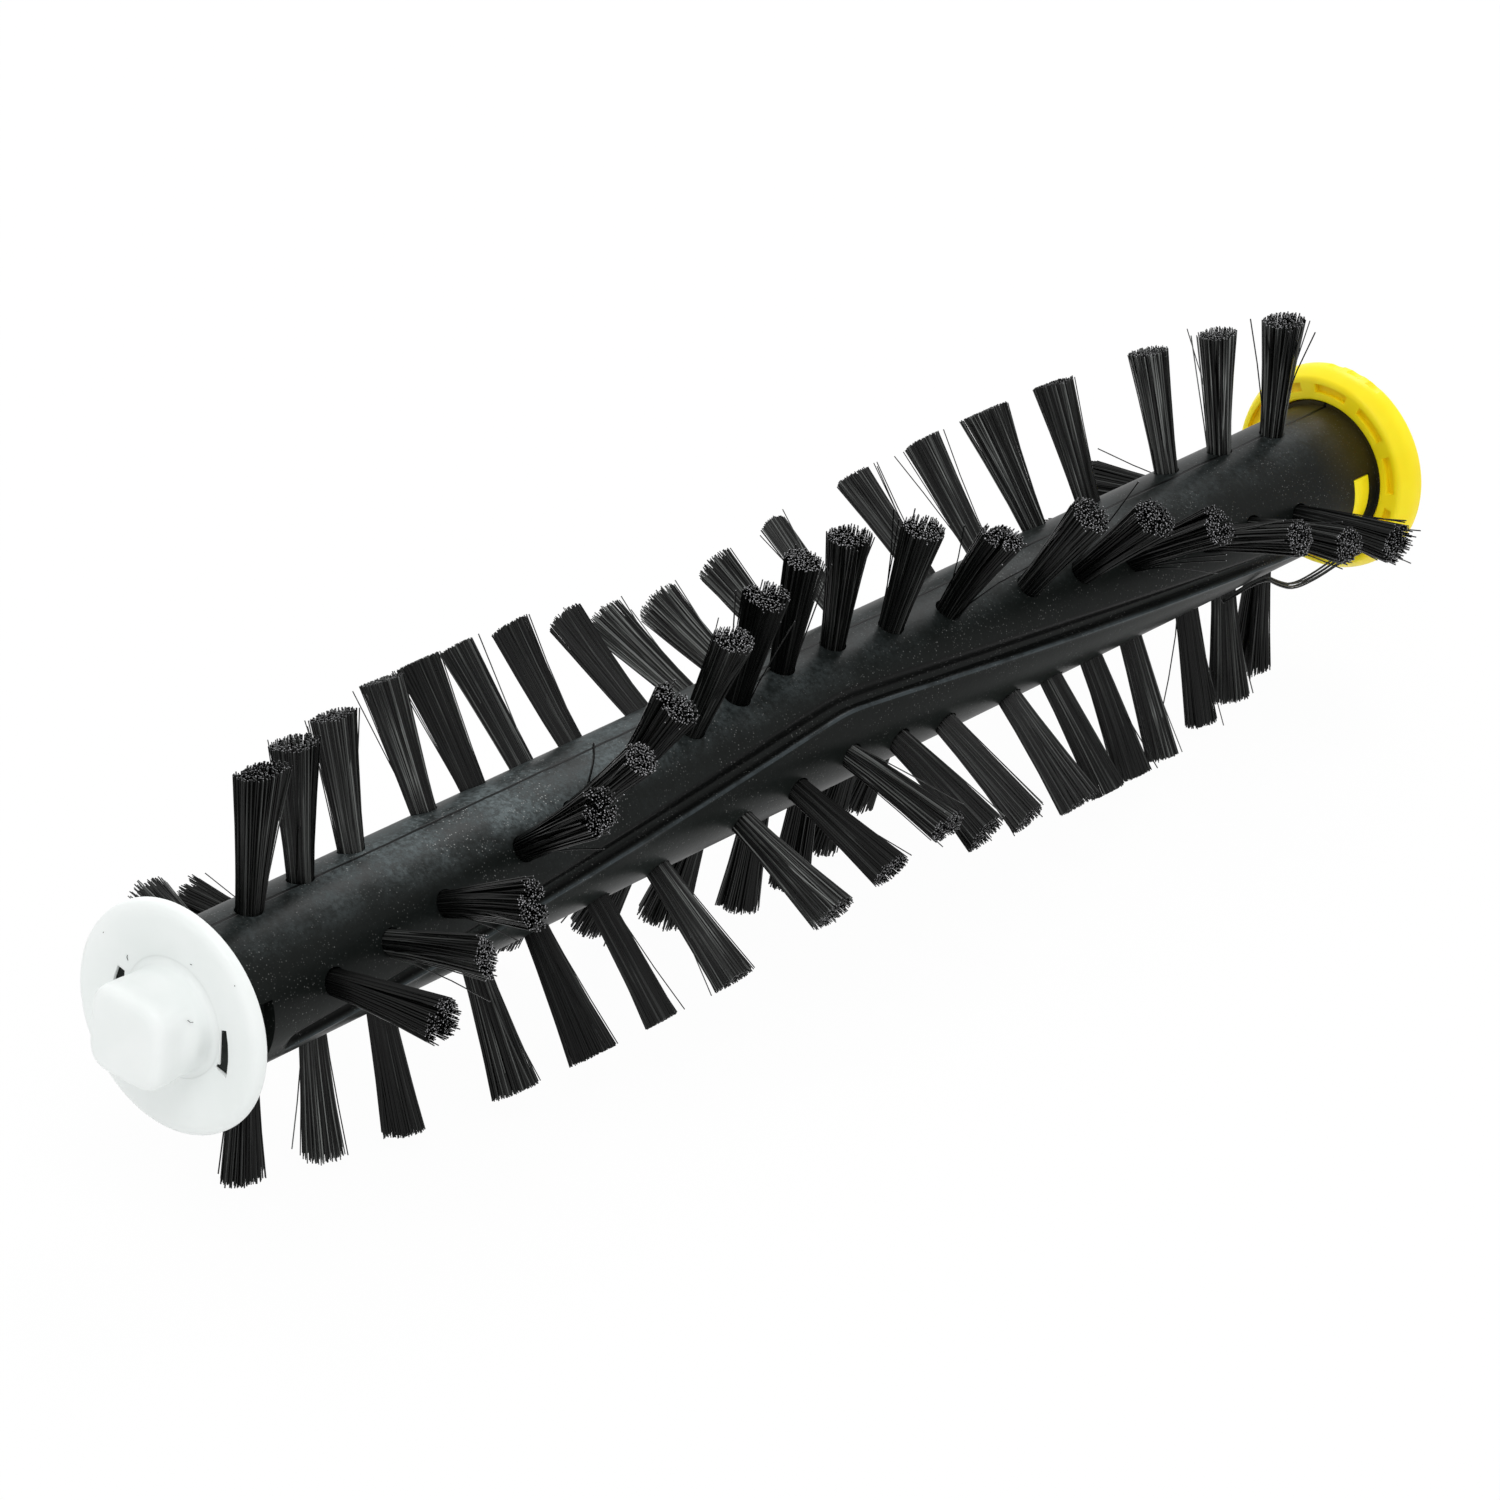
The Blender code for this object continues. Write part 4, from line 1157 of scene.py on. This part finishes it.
def strands_to_piece(name, routes, radius, chance, dust_and_light):
    """One mesh from filament routes, each with its number, and the tuft's dust and painted light.
    """
    curve = bpy.data.curves.new(name, "CURVE")
    curve.dimensions = "3D"
    curve.bevel_depth = radius
    curve.bevel_resolution = 0
    curve.use_fill_caps = True
    for route in routes:
        spline = curve.splines.new("POLY")
        spline.points.add(len(route) - 1)
        for point, place in zip(spline.points, route):
            point.co = (*place, 1)
    wire = bpy.data.objects.new(name, curve)
    scene.collection.objects.link(wire)
    bpy.context.view_layer.update()
    evaluated = wire.evaluated_get(bpy.context.evaluated_depsgraph_get())
    mesh = bpy.data.meshes.new_from_object(evaluated)
    bpy.data.objects.remove(wire)
    in_walls = STRAND_SIDES * sum(len(route) for route in routes)
    in_caps = (len(mesh.vertices) - in_walls) // len(routes)
    values = []
    for route in routes:
        values += [chance.random()] * (STRAND_SIDES * len(route) + in_caps)
    for label, numbers in (("strand", values), ("dust_and_light", [dust_and_light] * len(values))):
        mesh.attributes.new(label, "FLOAT", "POINT").data.foreach_set("value", numbers)
    shape = bmesh.new()
    shape.from_mesh(mesh)
    bmesh.ops.remove_doubles(shape, verts=shape.verts, dist=MERGE_DISTANCE / 2)
    bmesh.ops.recalc_face_normals(shape, faces=shape.faces)
    bpy.data.meshes.remove(mesh)
    return make_object(name, shape)


def paint_cut_ends(piece):
    """The faces that look straight out from the axis are the cut tips."""
    piece.data.materials.append(cut_nylon)
    for face in piece.data.polygons:
        out = Vector((0, face.center.y, face.center.z)).normalized()
        if face.normal.dot(out) > CUT_END_FACING:
            face.material_index = 1


# %% [markdown]
# Use has combed the rows a little: the top row leans to the drive end, the middle of the rear
# row to the bearing end, and a few tufts are bent further. The leans are in whole and half
# millimetres at the tips, along the axis and round it.
# Some tufts are dustier than others, and the rows are painted lighter or darker for the light on
# them: the rear and front rows, which catch the key light, are palest, and the top row darkest.

# %% Build the tufts
LEANING_TUFTS = (
    ("top", 16, 18, (-1.0, -1.5)),
    ("top", 1, 15, (-1.0, -0.5)),
    ("rear", 7, 12, (1.0, -1.0)),
    ("front", 10, 17, (0, -1.0)),
)
BENT_TUFTS = {
    "bottom_tuft_01": (4.0, -2.0),
    "bottom_tuft_02": (1.5, -3.0),
    "rear_tuft_01": (2.0, 1.0),
    "rear_tuft_10": (1.5, -2.0),
    "top_tuft_01": (0.5, -1.0),
    "top_tuft_03": (-2.0, -0.5),
    "top_tuft_06": (-1.5, 0.5),
    "top_tuft_12": (-1.0, -2.5),
    "front_tuft_02": (1.0, -0.5),
    "front_tuft_11": (0, -2.0),
}
# Each row's painted light: how pale its filaments are painted, for how the key light falls on it.
ROW_PAINTED_LIGHT = {"top": 0.25, "front": 0.85, "bottom": 0.45, "rear": 1.3}
TUFT_DUST = (0.25, 0.6, 1.0, 1.5)
LEAN_SCATTER = 0.2
SEED = 74


def build_tuft(name, station, angle):
    """One tuft in its hole, which stands for its node if it has one."""
    chance = random.Random(f"{SEED} {name}")
    row, number = name.split("_")[0], int(name[-2:])
    combed = [lean for leaning, first, last, lean in LEANING_TUFTS
              if leaning == row and first <= number <= last]
    along, round_it = BENT_TUFTS.get(name, combed[0] if combed else (0, 0))
    along += chance.gauss(0, LEAN_SCATTER)
    round_it += chance.gauss(0, LEAN_SCATTER)
    place = Matrix.Translation((station, 0, 0)) @ Matrix.Rotation(angle, 4, "X")
    strands = tuft_strands(chance, Vector((along, round_it)) * MM)
    routes = [[place @ point for point in route] for route in strands]
    # The tuft's dust, times its row's painted light.
    dust_and_light = ROW_PAINTED_LIGHT[row] * chance.choice(TUFT_DUST)
    piece = strands_to_piece(f"{name}_strands", routes, STRAND_RADIUS, chance, dust_and_light)
    replaced = [name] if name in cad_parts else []
    finish_piece(piece, nylon, "roller", replaced)
    paint_cut_ends(piece)


for name, station, angle in tuft_places():
    build_tuft(name, station, angle)

# %% [markdown]
# A used brush has loose ends. Two broken filaments lie on the core, six bent ones hang in a loop
# between the last tufts and the yellow ring, and short lint clings to the white cap. Each is
# a thin route like a filament's. The lint on the flange is dropped on to its face along X.

# %% Loose filaments and lint
# The loop is in mm, and the hairs and the boss's lint are stations in mm and angles in degrees.
LOOP_ROUTE = ((149, -4.2, -6.3), (152.5, -6.2, -3.9), (155, -6.3, -5.5), (158, -6.2, -6.9),
              (162, -6.1, -7.0), (166, -6.2, -6.3), (168.7, -6.5, -6.0))
LOOP_COUNT = 6
LOOP_SCATTER = 0.10
CORE_HAIRS = (((59.5, -7), (57.5, 8), (54, 28)), ((87, -11), (82, 2), (76, 14)))
BOSS_LINT = ((3.3, 58), (3.5, 61), (3.8, 62))
HAIR_RADIUS = 0.10 * MM
HAIR_REACH = CORE_RADIUS + 0.12 * MM

# The cap's lint is in mm, as (Y, Z).
CAP_LINT = (((5.3, 3.7), (5.35, 3.45), (5.25, 3.2)), ((7.7, 5.05), (7.75, 4.95)),
            ((-1.75, 5.95), (-1.95, 6.0)), ((-7.3, 6.65), (-7.35, 6.55)))
LINT_RADIUS = 0.035 * MM
LINT_LIFT = Vector((0.02, 0, 0)) * MM
BOSS_LINT_REACH = 4.88 * MM


def rounded_route(points, passes=2):
    """Cuts the corners of a route, which turns a few points into a smooth bend."""
    for _ in range(passes):
        cuts = [a.lerp(b, share) for a, b in zip(points, points[1:]) for share in (0.25, 0.75)]
        points = [points[0], *cuts, points[-1]]
    return points


def wound_route(points, reach):
    """A route at one distance from the axis."""
    return [place_at(x * MM, math.radians(angle), reach) for x, angle in points]


chance = random.Random(SEED)
routes = []
for _ in range(LOOP_COUNT):
    drift = Vector([chance.gauss(0, LOOP_SCATTER) for _ in range(3)])
    route = [Vector(point) + drift * (1 + index / 3) for index, point in enumerate(LOOP_ROUTE)]
    routes.append(rounded_route([point * MM for point in route]))
routes += [rounded_route(wound_route(hair, HAIR_REACH)) for hair in CORE_HAIRS]
loose = strands_to_piece("loose_filaments", routes, HAIR_RADIUS, chance, dust_and_light=0.2)
finish_piece(loose, nylon, "roller")

routes = []
for fibre in CAP_LINT:
    starts = [Vector((-1, y, z)) * MM for y, z in fibre]
    found = [white_cap.ray_cast(start, Vector((1, 0, 0)))[1] for start in starts]
    routes.append([point - LINT_LIFT for point in found])
routes.append(wound_route(BOSS_LINT, BOSS_LINT_REACH))
lint = strands_to_piece("lint_on_the_cap", routes, LINT_RADIUS, chance, dust_and_light=1.0)
finish_piece(lint, nylon, "roller")

# %% [markdown]
# ## Floor, light and background
# The photo's background is pure white, so the floor and the world look white to the camera and
# in mirror reflections, and the light itself stays plain. A soft key light hangs above the far
# end. It skims along the core towards the camera, which gives the top its sheen and leaves the
# near side dark. A second lamp above the drive end lights the fronts of the two caps.

# %% Floor
FLOOR_WHITE = 0.97
FLOOR_HALF_SIZE = 2.0
FLOOR_GAP = 0.05 * MM


def seen_as_background(recipe):
    """1 for rays from the camera, a mirror or a clear piece, and 0 for soft light."""
    path = recipe.node("ShaderNodeLightPath").outputs
    seen = recipe.math("MAXIMUM", path["Is Camera Ray"], path["Is Glossy Ray"])
    return recipe.math("MAXIMUM", seen, path["Is Transmission Ray"])


floor_shape = bmesh.new()
bmesh.ops.create_grid(floor_shape, x_segments=1, y_segments=1, size=FLOOR_HALF_SIZE)
floor_place = (0, 0, packed_box[0].z - FLOOR_GAP)
bmesh.ops.translate(floor_shape, vec=floor_place, verts=floor_shape.verts)
floor = make_object("floor", floor_shape)
floor_material, recipe, shader, _ = new_material("floor_white")
recipe.finish(shader, Base_Color=colour(0.88, 0.88, 0.88), Roughness=0.9)
glow = recipe.node("ShaderNodeEmission", None, {"Color": colour(1, 1, 1), "Strength": 1.0})
share = recipe.product(seen_as_background(recipe), FLOOR_WHITE)
shaders = {0: share, 1: shader.outputs[0], 2: glow.outputs[0]}
both = recipe.node("ShaderNodeMixShader", None, shaders)
output = floor_material.node_tree.nodes["Material Output"]
recipe.plug(both.outputs[0], output.inputs["Surface"])
floor.data.materials.append(floor_material)
print("Floor height in mm:", in_mm(floor_place)[2])

# %% World
WORLD_LIGHT = 0.82

world = bpy.data.worlds.new("white_room")
world.use_nodes = True
scene.world = world
recipe = Recipe(world.node_tree)
background = world.node_tree.nodes["Background"]
extra = recipe.product(seen_as_background(recipe), 1 - WORLD_LIGHT)
strength = recipe.math("ADD", WORLD_LIGHT, extra)
recipe.finish(background, Color=colour(1, 1, 1), Strength=strength)
print("World light:", WORLD_LIGHT)

# %% Lamps
# Each lamp's name, its place from the middle of the roller and its size in metres, and its watts.
LAMPS = (
    ("key_above_far_end", Vector((0.60, 0.30, 0.74)), 0.35, 3.3),
    ("fill_above_drive_end", Vector((-0.44, -0.25, 0.86)), 0.5, 2.2),
)


def soft_light(name, place, aim, size, power):
    """A square lamp that looks at a point."""
    lamp = bpy.data.lights.new(name, "AREA")
    lamp.size = size
    lamp.energy = power
    made = bpy.data.objects.new(name, lamp)
    scene.collection.objects.link(made)
    made.location = place
    made.rotation_mode = "QUATERNION"
    made.rotation_quaternion = (aim - place).to_track_quat("-Z", "Y")


middle = Vector((PATTERN_MIDDLE, 0, 0))
for name, offset, size, power in LAMPS:
    soft_light(name, middle + offset, middle, size, power)
    print(name, "watts:", power)

# %% Colour management
scene.view_settings.view_transform = "Standard"
